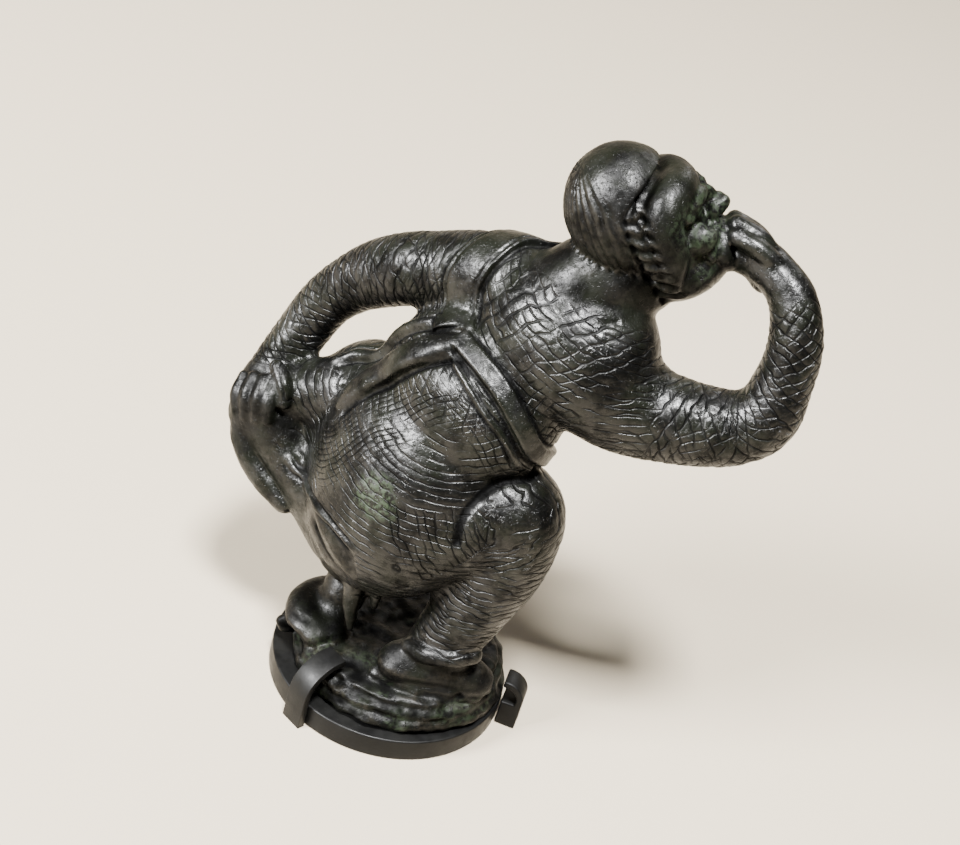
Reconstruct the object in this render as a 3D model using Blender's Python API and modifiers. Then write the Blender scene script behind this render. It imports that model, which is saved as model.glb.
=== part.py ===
"""Comic actor statuette: a small cast bronze with its own round base, on a plate with three clips.

Lengths are in millimetres until each mesh is finished. The figure is modelled in the axes of its
side view (X along the side view, Y away from the viewer, Z up) and the whole set is then turned
about Z, so that the figure faces -Y. The origin is the middle of the plate's underside.
"""

import math

import bmesh
import bpy
import numpy as np
from mathutils import Matrix, Vector
from mathutils.bvhtree import BVHTree

MM = 0.001
TURN = math.radians(230)

# Plate, and the figure's cast base standing on it.
PLATE_RADIUS = 25.0
PLATE_HEIGHT = 5.0
PLATE_EDGE = 0.4
GAP = 0.3
BASE_CENTRE = (1.6, 0.3)
BASE_FLOOR = PLATE_HEIGHT + GAP
BASE_HEIGHT = 6.6
BASE_PROFILE = [(22.6, 0), (23.1, 1.2), (22.8, 2.3), (21.8, 2.9), (22.1, 3.9), (21.3, 4.7),
                (20.3, 5.0), (20.2, 6.0), (18.8, 6.5), (12.0, BASE_HEIGHT)]
BASE_WAVES = [(3, 0.25, 0.4), (5, 0.2, 2.0), (11, 0.16, 1.1), (17, 0.12, 3.3)]

# Clips: a flat strap standing on the table, bent over the base's edge. Two reach over the base's
# top, and the right one is bent lower, beside its rim. Each has its own angle round the base,
# height of its top and reach of its tip.
CLIP_LIFT = 1.9
CLIP_DROP = 1.4
CLIP_STAND = 2.4
CLIP_RADIUS = PLATE_RADIUS + CLIP_STAND
CLIP_REACH = 8.4
CLIP_SHORT_REACH = 4.2
CLIPS = {
    "clip_front_left": (-127.0, BASE_FLOOR + BASE_HEIGHT + CLIP_LIFT, CLIP_RADIUS - CLIP_REACH),
    "clip_right": (-6.0, BASE_FLOOR + BASE_HEIGHT - CLIP_DROP, CLIP_RADIUS - CLIP_SHORT_REACH),
    "clip_back": (117.0, BASE_FLOOR + BASE_HEIGHT + CLIP_LIFT, CLIP_RADIUS - CLIP_REACH),
}
CLIP_WIDTH = 5.0
CLIP_THICKNESS = 1.5
CLIP_TAB = 1.4

# Skins: the body under its costume, then the whole figure.
BODY_VOXEL = 0.9
BODY_SOFTEN = 8
FIGURE_VOXEL = 0.5
FIGURE_SOFTEN = 3
FIGURE_TRIANGLES = 8600

# The head leans back by HEAD_TILT and looks HEAD_YAW away from the side view's X.
HEAD_CENTRE = Vector((19.0, 7.0, 114.2))
HEAD_YAW = 10.0
HEAD_TILT = 41.0

# Limbs as runs of x, y, z, radius.
LIMBS = {
    "right_arm": [(20, 0, 86, 12), (27, -0.5, 82.5, 10.5), (33, -1.5, 81.5, 9), (38.5, -2.5, 82.2, 8.3),
                  (44, -3, 83.2, 7.7), (49.5, -3, 84.8, 7), (53.4, -3, 89.1, 6.5), (54.2, -2, 95.3, 5.7),
                  (53.8, -1, 102, 5.0), (52.4, 0, 106.8, 4.5), (50.3, 2, 110.4, 4.2),
                  (47.4, 4, 112.9, 4.2), (44, 6.2, 114, 4.2), (40.8, 8.2, 113.6, 4)],
    "left_arm": [(2, 10, 92, 9), (-5, 13, 90.5, 8.3), (-11.5, 15, 88.8, 7.7), (-17, 16, 86.8, 7.3),
                 (-22.5, 18, 83, 7), (-28, 19.5, 78, 6.1), (-32.8, 20, 71.4, 5.6),
                 (-36.5, 18, 62.8, 5.4), (-39, 15, 56.8, 5.2), (-40.5, 11, 52.1, 5.4), (-40.5, 8, 49, 5.2)],
    "right_leg": [(-2, -4, 48, 16), (8, -6, 52.5, 13), (15.5, -8, 55, 9.8), (16.2, -8, 45, 8.8),
                  (13.3, -8, 33, 7.9), (10, -8.5, 22, 7), (8.5, -9, 17, 6.6)],
    "left_leg": [(-10, 8, 50, 13), (-11.5, 17, 52, 11), (-13, 21, 50, 9.3), (-13.5, 17, 38, 8.4),
                 (-14, 9, 27, 7), (-14.5, 2, 19, 5.6), (-14.8, -1, 16, 5.5)],
    "right_foot": [(2.5, -12.5, 15, 4.8), (8, -11.3, 15.4, 5.2), (13.5, -10, 14.2, 5), (18, -8.8, 13.2, 4.2)],
    "left_foot": [(-17.8, -7, 13.2, 4.4), (-19.2, -2.5, 13.9, 4.7), (-18.6, 3.5, 13.9, 4.8), (-16.8, 9, 13.3, 4.2)],
    "neck": [(13, 5, 96, 10), (19, 6, 103, 9), (24, 7, 104, 7.5)],
    "mantle": [(-36.5, 9, 48, 7), (-32.5, 8, 42.5, 7.2), (-27, 6, 38.5, 7.6), (-21.5, 4, 34.5, 8.2),
               (-15, 1, 30.5, 8.8), (-8, 0, 28, 8)],
    "flank": [(-23, 10, 59, 8), (-29, 11, 56.5, 6.8), (-35.5, 11, 54, 5.6)],
}

# Rounded masses as centre, half sizes (across, deep, high), yaw and pitch in degrees.
MASSES = {
    "pelvis": ((-6.5, 1.5, 51.5), (23, 18.5, 27), 40, 14),
    "left_hip": ((-19, 12, 54), (13, 12, 16), 40, 10),
    "waist": ((1, 3, 72), (20, 16, 18), 45, 25),
    "chest": ((14, 5, 88), (20, 15, 16), 58, 32),
    "shoulder": ((4, 9.5, 90), (12, 10, 11), 58, 20),
}

# Strips lying on the body: half width, height, tapered ends, then the run of x, y, z.
STRIPS = {
    "shoulder_strap": (3.7, 1.4, False, [(8, 17, 101), (2, 13, 101.5), (-2.6, 7.9, 99.2), (-5, 5.7, 95.8),
                                         (-5.9, 4.5, 92.4), (-5.6, 2.2, 89.1), (-5.5, -2.3, 86.2)]),
    "waist_roll": (3.2, 2.1, True, [(-3.6, -4.6, 86), (-8.6, -4.1, 82.8), (-12.8, -2.9, 78.3),
                                    (-17.1, -0.5, 71.5), (-20.7, -0.1, 66.8), (-23.8, 0.1, 61.6)]),
    "second_fold": (1.7, 1.5, True, [(-7.9, 0.9, 86), (-14.2, 4.3, 80.6), (-19, 7, 74.5),
                                     (-24, 9.8, 68.5), (-27, 9, 64)]),
    "side_band": (2.6, 1.5, False, [(-4.6, -3.2, 86), (0.1, -7.6, 85.2), (5.4, -10.7, 82.7),
                                    (11, -12.5, 77.6), (15.3, -10.8, 71.7), (19, -4, 67), (17, 6, 63),
                                    (9, 17, 60), (-2, 25, 60)]),
    "panel_lip": (0.9, 1.3, True, [(-5.3, -6.2, 83.8), (-0.4, -11, 81.3), (4, -13.6, 78.2),
                                   (8.9, -14.3, 74.6), (12.8, -12.5, 68.4)]),
    "mantle_edge": (1.5, 1.2, True, [(-31.5, 2.1, 45.7), (-28.9, -0.5, 44.3), (-25.2, -3.6, 43.9),
                                     (-21.2, -10.5, 44.5), (-16.6, -14.8, 43.9), (-12.2, -17.3, 42.3)]),
    "mantle_hem": (1.1, 1.3, True, [(-22, -6, 35), (-19.3, -7.7, 33), (-18, -7.2, 30.2),
                                    (-16.4, -7.5, 28.5), (-14.3, -7.5, 26.6), (-11.6, -7.1, 25.2),
                                    (-8.4, -7.2, 25), (-4.5, -7, 24.4)]),
}

# Small forms as runs of x, y, z, radius: the mantle's turned fold and tails, hands and shoes.
DETAILS = {
    "fold": [(-43, 5.5, 50, 1.6), (-42.6, 4.6, 45, 2), (-39.6, 3, 40.5, 1.9), (-35.6, 0.8, 37.2, 1.2)],
    "fold_lower": [(-31, -1, 37, 1.4), (-27.5, -2.9, 34.5, 1.7), (-23.5, -4.6, 32, 1.4)],
    "tail": [(-10.8, -7.2, 26, 2.6), (-10.2, -8.6, 22.5, 2.1), (-9.2, -10.6, 18, 0.9)],
    "small_tail": [(-6.4, -6.2, 26, 1.5), (-5.8, -6.8, 21.3, 0.9)],
    "left_fingers": [(-39.6, 5.6, 57.5, 1.7), (-38, 4.9, 54.6, 2.2), (-37, 4, 51, 1.7)],
    "left_knuckles": [(-43, 7, 55, 1.9), (-43.6, 5.4, 52, 2.1), (-42, 4, 49, 1.7)],
    "thumb": [(47.6, 4, 109.6, 2.2), (45, 4.6, 108.8, 2.4), (42.8, 5.6, 110.2, 1.9)],
    "finger_1": [(45.4, 3.2, 115.8, 1.8), (42, 3.6, 117.2, 1.9), (38, 5.2, 117.6, 1.8)],
    "finger_2": [(45, 5.4, 116.2, 1.8), (41.6, 6, 118.2, 1.9), (37.4, 7.4, 118.9, 1.8)],
    "finger_3": [(44.4, 7.6, 116, 1.8), (41, 8.4, 118, 1.9), (37, 9.6, 118.7, 1.8)],
    "finger_4": [(43.4, 9.6, 114.8, 1.8), (40.2, 10.6, 116.2, 1.8), (36.8, 11.8, 116.8, 1.7)],
    "shoe_cuff": [(3.6, -12.4, 19.5, 2), (7, -14.8, 21, 2), (12, -15, 22.2, 2), (16, -12.4, 22.6, 1.9)],
    "right_sole": [(-1, -14, 12.2, 2.2), (5, -15, 12.4, 2.2), (12, -13.8, 12.2, 2.2), (19, -11, 12, 2)],
    "base_lump": [(-22.4, -4.4, 9, 1.8), (-23.4, -4.8, 9.8, 1.6)],
}

# The head in its own axes: forward, up, left of its centre. Half sizes are across, high, deep.
HEAD_MASSES = {
    "skull": ((0.4, -0.4, 0), (10.6, 11.3, 10.8)),
    "cap": ((1.3, 1.4, 0), (11.4, 11.9, 11.3)),
    "face": ((4.0, -5.4, 0), (9.4, 12.2, 9.6)),
    "nose": ((14.8, -2.2, 0), (2.3, 2.4, 2.8)),
    "nose_bridge": ((12.2, 0, 0), (1.7, 2.6, 2.2)),
    "jaw": ((5.0, -13.0, 0), (8.6, 5.6, 9.0)),
    "left_cheek": ((10.2, -5, 6), (3.1, 3, 3.3)),
    "right_cheek": ((10.2, -5, -6), (3.1, 3, 3.3)),
}
HEAD_ROLLS = {
    "hair_roll": [(-5, -8.5, 9.4, 2), (0.3, -4, 10.3, 2.3), (3.2, 1, 9.4, 2.5), (6, 4.9, 6.2, 2.6),
                  (7.4, 6.4, 2.2, 2.7), (7.4, 6.4, -2.2, 2.7), (6, 4.9, -6.2, 2.6), (3.2, 1, -9.4, 2.5),
                  (0.3, -4, -10.3, 2.3), (-5, -8.5, -9.4, 2)],
    "left_lock": [(1.3, -4, 10.5, 1.8), (3, -8.5, 10, 1.7), (3.4, -12.6, 9.2, 1.3)],
    "right_lock": [(1.3, -4, -10.5, 1.8), (3, -8.5, -10, 1.7), (3.4, -12.6, -9.2, 1.3)],
    "brow": [(7.6, -1.8, 8.8, 1.4), (10.2, 1.4, 7, 1.8), (12, 2.6, 4.2, 1.9), (12.8, 1.6, 1.2, 1.8),
             (12.8, 1.6, -1.2, 1.8), (12, 2.6, -4.2, 1.9), (10.2, 1.4, -7, 1.8), (7.6, -1.8, -8.8, 1.4)],
    "forehead_fold": [(7.8, 1, 8, 0.9), (9.8, 3.9, 4.6, 1), (10.4, 4.4, 0, 1), (9.8, 3.9, -4.6, 1),
                      (7.8, 1, -8, 0.9)],
    "mouth": [(13.6, -6.8, 0, 1.9), (12.8, -8, 4.8, 2), (11.8, -11.4, 7.4, 2.1), (12.4, -15, 5.2, 2.1),
              (13.2, -16.4, 0, 2.2), (12.4, -15, -5.2, 2.1), (11.8, -11.4, -7.4, 2.1),
              (12.8, -8, -4.8, 2), (13.6, -6.8, 0, 1.9)],
}

BRONZE = ("dark_bronze", (0.035, 0.037, 0.031), 0.9, 0.42)
PAINT = ("black_paint", (0.03, 0.032, 0.027), 0.0, 0.55)


def catmull(run, steps):
    """Points of a smooth curve through the run's rows, every column alike."""
    run = np.array(run, float)
    pad = np.vstack([2 * run[0] - run[1], run, 2 * run[-1] - run[-2]])
    t = np.linspace(0, len(run) - 1, (len(run) - 1) * steps + 1)
    i = np.minimum(t.astype(int), len(run) - 2)
    f = (t - i)[:, None]
    p0, p1, p2, p3 = (pad[i + k] for k in range(4))
    return 0.5 * (2 * p1 + (p2 - p0) * f + (2 * p0 - 5 * p1 + 4 * p2 - p3) * f**2
                  + (3 * p1 - p0 - 3 * p2 + p3) * f**3)


def add_tube(mesh, run, steps=5, detail=2):
    """Overlapping balls along the run, which a skin turns into a round-ended limb."""
    for x, y, z, r in catmull(run, steps):
        place = Matrix.Translation((x, y, z))
        bmesh.ops.create_icosphere(mesh, subdivisions=detail, radius=max(r, 0.3), matrix=place)


def add_mass(mesh, centre, half, axes):
    """A ball scaled by the half sizes along the axes."""
    place = Matrix.Translation(centre) @ axes @ Matrix.Diagonal((*half, 1))
    bmesh.ops.create_icosphere(mesh, subdivisions=4, radius=1, matrix=place)


def add_strip(mesh, skin, half_width, height, tapered, run):
    """A pillow-shaped strip laid on the skin, its run moved to the nearest skin."""
    line = catmull(run, 6)
    hits = [skin.find_nearest(Vector(p)) for p in line]
    spots = np.array([hit[0] for hit in hits])
    tangents = np.gradient(spots, axis=0)
    rings = []
    for k, (spot, hit, tangent) in enumerate(zip(spots, hits, tangents)):
        normal = hit[1].normalized()
        side = Vector(tangent).cross(normal).normalized()
        share = math.sin(math.pi * (k + 0.6) / (len(line) + 0.2)) ** 0.35 if tapered else 1.0
        ring = []
        for turn in np.linspace(0, 2 * math.pi, 16, endpoint=False):
            reach = side * (half_width * share * math.cos(turn))
            lift = normal * ((height * share + 1.2) * math.sin(turn) - 1.2)
            ring.append(mesh.verts.new(Vector(spot) + reach + lift))
        rings.append(ring)
    for one, two in zip(rings, rings[1:]):
        for k in range(16):
            mesh.faces.new((one[k], one[(k + 1) % 16], two[(k + 1) % 16], two[k]))
    mesh.faces.new(reversed(rings[0]))
    mesh.faces.new(rings[-1])


def add_base(mesh):
    """The round cast base: its ridged profile, wavering round the edge, under a flat top."""
    rings = []
    for radius, height in BASE_PROFILE:
        ring = []
        for turn in np.linspace(0, 2 * math.pi, 96, endpoint=False):
            wave = sum(size * math.sin(count * turn + phase + height) for count, size, phase in BASE_WAVES)
            reach = radius + (wave if 0.5 < height < 6.5 else 0)
            x = BASE_CENTRE[0] + reach * math.cos(turn)
            y = BASE_CENTRE[1] + reach * math.sin(turn)
            ring.append(mesh.verts.new((x, y, BASE_FLOOR + height)))
        rings.append(ring)
    for one, two in zip(rings, rings[1:]):
        for k in range(96):
            mesh.faces.new((one[k], one[(k + 1) % 96], two[(k + 1) % 96], two[k]))
    mesh.faces.new(reversed(rings[0]))
    mesh.faces.new(rings[-1])


def head_axes():
    """Rotation from the head's own axes (forward, left, up) to the side view's axes."""
    yaw = math.radians(HEAD_YAW)
    tilt = math.radians(HEAD_TILT)
    forward = Vector((math.cos(tilt) * math.cos(yaw), math.cos(tilt) * math.sin(yaw), math.sin(tilt)))
    left = Vector((-math.sin(yaw), math.cos(yaw), 0))
    return Matrix((forward, left, forward.cross(left))).transposed().to_4x4()


def to_data(mesh, name):
    data = bpy.data.meshes.new(name)
    bmesh.ops.recalc_face_normals(mesh, faces=mesh.faces)
    mesh.to_mesh(data)
    mesh.free()
    return data


def applied(data, modifiers):
    """The mesh with the modifiers' result, each a name, a kind and its settings."""
    obj = bpy.data.objects.new("shape", data)
    bpy.context.scene.collection.objects.link(obj)
    for kind, settings in modifiers:
        modifier = obj.modifiers.new(kind.lower(), kind)
        for key, value in settings.items():
            setattr(modifier, key, value)
    graph = bpy.context.evaluated_depsgraph_get()
    result = bpy.data.meshes.new_from_object(obj.evaluated_get(graph))
    bpy.data.objects.remove(obj)
    return result


def skinned(data, voxel, soften):
    """One closed skin round everything in the mesh, softened."""
    return applied(data, [("REMESH", {"mode": "VOXEL", "voxel_size": voxel}),
                          ("SMOOTH", {"factor": 0.5, "iterations": int(soften)})])


def body_skin():
    """The body, limbs and mantle as one soft skin, before costume and head are added."""
    mesh = bmesh.new()
    for run in LIMBS.values():
        add_tube(mesh, run)
    for centre, (across, deep, high), yaw, pitch in MASSES.values():
        axes = Matrix.Rotation(math.radians(yaw), 4, "Z") @ Matrix.Rotation(math.radians(pitch), 4, "Y")
        add_mass(mesh, centre, (deep, across, high), axes)
    return skinned(to_data(mesh, "body"), BODY_VOXEL, BODY_SOFTEN)


def figure_mesh():
    """The whole casting: body, strips of costume, hands, shoes, masked head and base."""
    mesh = bmesh.new()
    mesh.from_mesh(body_skin())
    skin = BVHTree.FromBMesh(mesh)
    for half_width, height, tapered, run in STRIPS.values():
        add_strip(mesh, skin, half_width, height, tapered, run)
    for run in DETAILS.values():
        add_tube(mesh, run, steps=4)
    axes = head_axes()
    for (forward, up, left), (across, high, deep) in HEAD_MASSES.values():
        spot = HEAD_CENTRE + (axes @ Vector((forward, left, up)))
        add_mass(mesh, spot, (deep, across, high), axes)
    for run in HEAD_ROLLS.values():
        turned = [(*(HEAD_CENTRE + (axes @ Vector((f, s, u)))), r) for f, u, s, r in run]
        add_tube(mesh, turned, steps=6)
    add_base(mesh)
    fine = skinned(to_data(mesh, "casting"), FIGURE_VOXEL, FIGURE_SOFTEN)
    share = FIGURE_TRIANGLES / (2 * len(fine.polygons))
    return applied(fine, [("DECIMATE", {"ratio": share, "use_collapse_triangulate": True})])


def plate_mesh():
    mesh = bmesh.new()
    place = Matrix.Translation((0, 0, PLATE_HEIGHT / 2))
    bmesh.ops.create_cone(mesh, cap_ends=True, segments=72, radius1=PLATE_RADIUS, radius2=PLATE_RADIUS,
                          depth=PLATE_HEIGHT, matrix=place)
    rims = [edge for edge in mesh.edges if abs(edge.verts[0].co.z - edge.verts[1].co.z) < 0.01]
    bmesh.ops.bevel(mesh, geom=rims, offset=PLATE_EDGE, segments=2, affect="EDGES", profile=0.5)
    return to_data(mesh, "plate")


def plate_reach(turn):
    """How far the plate's rim is from the base's centre in a direction."""
    along = BASE_CENTRE[0] * math.cos(turn) + BASE_CENTRE[1] * math.sin(turn)
    return math.sqrt(PLATE_RADIUS**2 + along**2 - BASE_CENTRE[0] ** 2 - BASE_CENTRE[1] ** 2) - along


def clip_mesh(name, angle, top, tip):
    """A strap: a foot tab in to the plate's side, an upright, and a bend in over the base."""
    turn = math.radians(angle)
    tab = min(plate_reach(turn) + GAP, CLIP_RADIUS - CLIP_THICKNESS / 2)
    bend = 0.8 * min(top, CLIP_RADIUS - tip)
    path = [(CLIP_RADIUS, 0), (CLIP_RADIUS, top - bend)]
    for step in range(1, 9):
        share = math.radians(90 * step / 8)
        path.append((CLIP_RADIUS - bend * (1 - math.cos(share)), top - bend * (1 - math.sin(share))))
    path.append((tip, top))
    path = np.array(path)
    tangents = np.gradient(path, axis=0)
    tangents[0] = (0, 1)
    tangents /= np.linalg.norm(tangents, axis=1)[:, None]
    half = CLIP_THICKNESS / 2
    outer = [p + half * np.array((t[1], -t[0])) for p, t in zip(path, tangents)]
    inner = [p - half * np.array((t[1], -t[0])) for p, t in zip(path, tangents)]
    foot = [np.array((CLIP_RADIUS - half, CLIP_TAB)), np.array((tab, CLIP_TAB)), np.array((tab, 0.0))]
    outline = outer + inner[:0:-1] + foot
    mesh = bmesh.new()
    spin = Matrix.Translation((*BASE_CENTRE, 0)) @ Matrix.Rotation(turn, 4, "Z")
    flanks = []
    for side in (-CLIP_WIDTH / 2, CLIP_WIDTH / 2):
        flanks.append([mesh.verts.new(spin @ Vector((r, side, z))) for r, z in outline])
    count = len(outline)
    for k in range(count):
        mesh.faces.new((flanks[0][k], flanks[0][(k + 1) % count], flanks[1][(k + 1) % count], flanks[1][k]))
    mesh.faces.new(reversed(flanks[0]))
    mesh.faces.new(flanks[1])
    mesh.normal_update()
    bmesh.ops.triangulate(mesh, faces=[face for face in mesh.faces if len(face.verts) > 4])
    return to_data(mesh, name)


def add_object(collection, name, data, finish):
    """Turn the mesh to the row's axes, scale it to metres and give it its own material."""
    data.transform(Matrix.Scale(MM, 4) @ Matrix.Rotation(TURN, 4, "Z"))
    data.name = name
    label, colour, metallic, roughness = finish
    material = bpy.data.materials.new(f"{name}_{label}")
    material.use_nodes = True
    shader = material.node_tree.nodes["Principled BSDF"]
    shader.inputs["Base Color"].default_value = (*colour, 1)
    shader.inputs["Metallic"].default_value = metallic
    shader.inputs["Roughness"].default_value = roughness
    data.materials.clear()
    data.materials.append(material)
    collection.objects.link(bpy.data.objects.new(name, data))


def main():
    for obj in list(bpy.data.objects):
        bpy.data.objects.remove(obj)
    collection = bpy.data.collections.new("comic_actor_statuette")
    bpy.context.scene.collection.children.link(collection)
    add_object(collection, "figure", figure_mesh(), BRONZE)
    add_object(collection, "plate", plate_mesh(), PAINT)
    for name, (angle, top, tip) in CLIPS.items():
        add_object(collection, name, clip_mesh(name, angle, top, tip), PAINT)


main()
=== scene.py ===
"""Dressed model of a small dark bronze: a masked comic actor on a round base.

The bronze stands on a display plate between three bent clips.

Lengths are millimetres in the axes of the figure's side view (X along it, Y away from the viewer,
Z up) until a piece is finished, and are then turned and scaled to the part's own frame.
"""

import logging
import math
from dataclasses import dataclass, field
from enum import Enum

import bpy
import numpy as np
from mathutils import Matrix, Vector
from mathutils.bvhtree import BVHTree

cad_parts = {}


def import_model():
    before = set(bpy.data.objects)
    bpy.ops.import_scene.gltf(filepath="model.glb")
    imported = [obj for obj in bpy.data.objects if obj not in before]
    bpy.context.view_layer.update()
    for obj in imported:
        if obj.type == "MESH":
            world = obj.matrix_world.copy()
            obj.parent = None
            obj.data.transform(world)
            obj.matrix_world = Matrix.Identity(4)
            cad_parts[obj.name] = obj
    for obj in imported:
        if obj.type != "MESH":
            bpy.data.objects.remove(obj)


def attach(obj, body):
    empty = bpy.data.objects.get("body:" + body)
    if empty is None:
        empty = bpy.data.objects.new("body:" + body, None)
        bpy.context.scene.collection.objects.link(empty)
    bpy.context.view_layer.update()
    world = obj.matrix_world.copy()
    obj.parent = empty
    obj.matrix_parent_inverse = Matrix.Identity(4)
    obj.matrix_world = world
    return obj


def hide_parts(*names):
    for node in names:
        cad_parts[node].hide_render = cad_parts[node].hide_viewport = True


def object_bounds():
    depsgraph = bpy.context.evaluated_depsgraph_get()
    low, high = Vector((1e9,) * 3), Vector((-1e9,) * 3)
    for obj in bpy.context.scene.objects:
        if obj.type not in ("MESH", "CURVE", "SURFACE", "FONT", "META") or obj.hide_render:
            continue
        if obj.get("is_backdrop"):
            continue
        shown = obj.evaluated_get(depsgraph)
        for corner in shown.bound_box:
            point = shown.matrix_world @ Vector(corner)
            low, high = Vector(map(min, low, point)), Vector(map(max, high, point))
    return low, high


Array = np.ndarray
Surface = tuple[Array, Array]
Run = list[tuple[float, ...]]
Spot = tuple[float, float, float]
Colour = tuple[float, float, float]

MM = 0.001
TURN = math.radians(230)
PLATE_RADIUS = 25.0
PLATE_HEIGHT = 5.0
GAP = 0.3
BASE_FLOOR = PLATE_HEIGHT + GAP
BASE_CENTRE = (1.6, 0.3)
BASE_HEIGHT = 6.6
CLIP_STAND = 2.4
CLIP_RADIUS = PLATE_RADIUS + CLIP_STAND
CLIP_LIFT = 1.9
CLIP_DROP = 1.4
CLIP_REACH = 8.4
CLIP_SHORT_REACH = 4.2
CLIP_TALL_TAB = 6.0
HEAD_CENTRE = np.array((19.0, 7.0, 114.2))
HEAD_YAW = math.radians(10)
HEAD_TILT = math.radians(41)

CUT_LINES = ("arm_one", "arm_two", "leg_one", "leg_two", "back_one", "back_two",
             "hip_rings", "hip_rows", "hip_corner")

log = logging.getLogger("statuette")


# Shapes worked out as arrays


def smooth_step(low: float, high: float, value: Array) -> Array:
    """Nought below low, one above high, and a smooth rise between; low may be the larger."""
    share = np.clip((value - low) / (high - low), 0, 1)
    return share * share * (3 - 2 * share)


def noise(points: Array, size: float, seed: int) -> Array:
    """Smooth random values from -1 to 1 on a lattice of cells.

    Each lattice corner has a value from an integer hash, and a point's value is blended from
    the eight corners of its cell with the smooth weight 3f^2 - 2f^3.

    Args:
        points: positions, one row each.
        size: the cell's side in the points' units.
        seed: picks another set of corner values.

    Returns:
        One value for each point.
    """
    spot = points / size + seed * 17.31
    cell = np.floor(spot).astype(np.int64)
    part = spot - cell
    part = part * part * (3 - 2 * part)
    total = np.zeros(len(points))
    for corner in range(8):
        step = np.array([corner >> 2 & 1, corner >> 1 & 1, corner & 1])
        key = (cell + step) @ np.array([73856093, 19349663, 83492791]) + seed * 2654435761
        key = (key ^ (key >> 13)) * 1274126177
        key = (key ^ (key >> 16)) & 0xFFFF
        weight = np.prod(np.where(step, part, 1 - part), axis=1)
        total += weight * (key / 32767.5 - 1)
    return total


def curve(run: Run | Array, spacing: float) -> Array:
    """A smooth Catmull-Rom curve through the run's rows, read off at even steps of arc length.

    Args:
        run: rows of x, y, z and, where it has one, radius.
        spacing: about how far apart the curve's rows are.

    Returns:
        The curve's rows, with as many columns as the run.
    """
    rows = np.array(run, float)
    pad = np.vstack([2 * rows[0] - rows[1], rows, 2 * rows[-1] - rows[-2]])
    time = np.linspace(0, len(rows) - 1, (len(rows) - 1) * 24 + 1)
    index = np.minimum(time.astype(int), len(rows) - 2)
    part = (time - index)[:, None]
    p0, p1, p2, p3 = (pad[index + k] for k in range(4))
    line = 0.5 * (2 * p1 + (p2 - p0) * part + (2 * p0 - 5 * p1 + 4 * p2 - p3) * part**2
                  + (3 * p1 - p0 - 3 * p2 + p3) * part**3)
    reach = arc_lengths(line)
    even = np.linspace(0, reach[-1], max(int(reach[-1] / spacing), 2) + 1)
    return np.stack([np.interp(even, reach, column) for column in line.T], axis=1)


def arc_lengths(line: Array) -> Array:
    """How far along the line each of its rows lies."""
    steps = np.linalg.norm(np.diff(line[:, :3], axis=0), axis=1)
    return np.concatenate([[0], np.cumsum(steps)])


def grid_triangles(rows: int, columns: int) -> Array:
    """Triangles of a grid whose columns close round on themselves.

    Args:
        rows: how many rows of points the grid has.
        columns: how many points a row has.

    Returns:
        Three point numbers for each triangle.
    """
    row, column = np.meshgrid(np.arange(rows - 1), np.arange(columns), indexing="ij")
    a = (row * columns + column).ravel()
    b = (row * columns + (column + 1) % columns).ravel()
    c, d = a + columns, b + columns
    return np.concatenate([np.stack([a, b, d], 1), np.stack([a, d, c], 1)])


def ball(sides: int) -> Surface:
    """A unit ball: height sin(v), radius cos(v), for v from pole to pole and u all round.

    Args:
        sides: how many points go round it; half as many rows go from pole to pole.

    Returns:
        The ball's surface.
    """
    rows = sides // 2
    v, u = np.meshgrid(np.linspace(-0.499 * math.pi, 0.499 * math.pi, rows),
                       np.linspace(0, 2 * math.pi, sides, endpoint=False), indexing="ij")
    points = np.stack([np.cos(v) * np.cos(u), np.cos(v) * np.sin(u), np.sin(v)], -1).reshape(-1, 3)
    triangles = grid_triangles(rows, sides)
    poles = len(points)
    points = np.vstack([points, (0, 0, -1), (0, 0, 1)])
    ring = np.arange(sides)
    low = np.stack([np.full(sides, poles), (ring + 1) % sides, ring], 1)
    top = (rows - 1) * sides + ring
    high = np.stack([np.full(sides, poles + 1), top, (rows - 1) * sides + (ring + 1) % sides], 1)
    return points, np.concatenate([triangles, low, high])


def joined(surfaces: list[Surface]) -> Surface:
    """Several surfaces as one, each one's triangles counted on from those before.

    Args:
        surfaces: the surfaces in order.

    Returns:
        The one surface.
    """
    counts = np.cumsum([0] + [len(points) for points, _ in surfaces])
    points = np.vstack([points for points, _ in surfaces])
    return points, np.vstack([t + start for (_, t), start in zip(surfaces, counts)])


def limb(run: Run | Array, spacing: float = 0.8) -> Surface:
    """A ball carried along the run with the run's own radius, at steps too close to see.

    Args:
        run: rows of x, y, z and radius.
        spacing: the longest step.

    Returns:
        The overlapping balls as one surface.
    """
    line = curve(run, min(spacing, 0.35 * float(np.min(np.array(run)[:, 3]))))
    points, triangles = ball(20 if line[:, 3].max() < 4 else 36)
    placed = line[:, None, :3] + line[:, None, 3:4] * points[None]
    offsets = np.arange(len(line))[:, None, None] * len(points)
    return placed.reshape(-1, 3), (triangles[None] + offsets).reshape(-1, 3)


def mass(centre: Array, half: Spot, axes: Array) -> Surface:
    """A ball stretched by its half sizes along the columns of axes, about the centre."""
    points, triangles = ball(96)
    return points * np.array(half) @ axes.T + centre, triangles


def turned_axes(yaw: float, pitch: float) -> Array:
    """Axes pitched about Y and then yawed about Z, in degrees, as columns."""
    turn = Matrix.Rotation(math.radians(yaw), 3, "Z") @ Matrix.Rotation(math.radians(pitch), 3, "Y")
    return np.array(turn)


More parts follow.
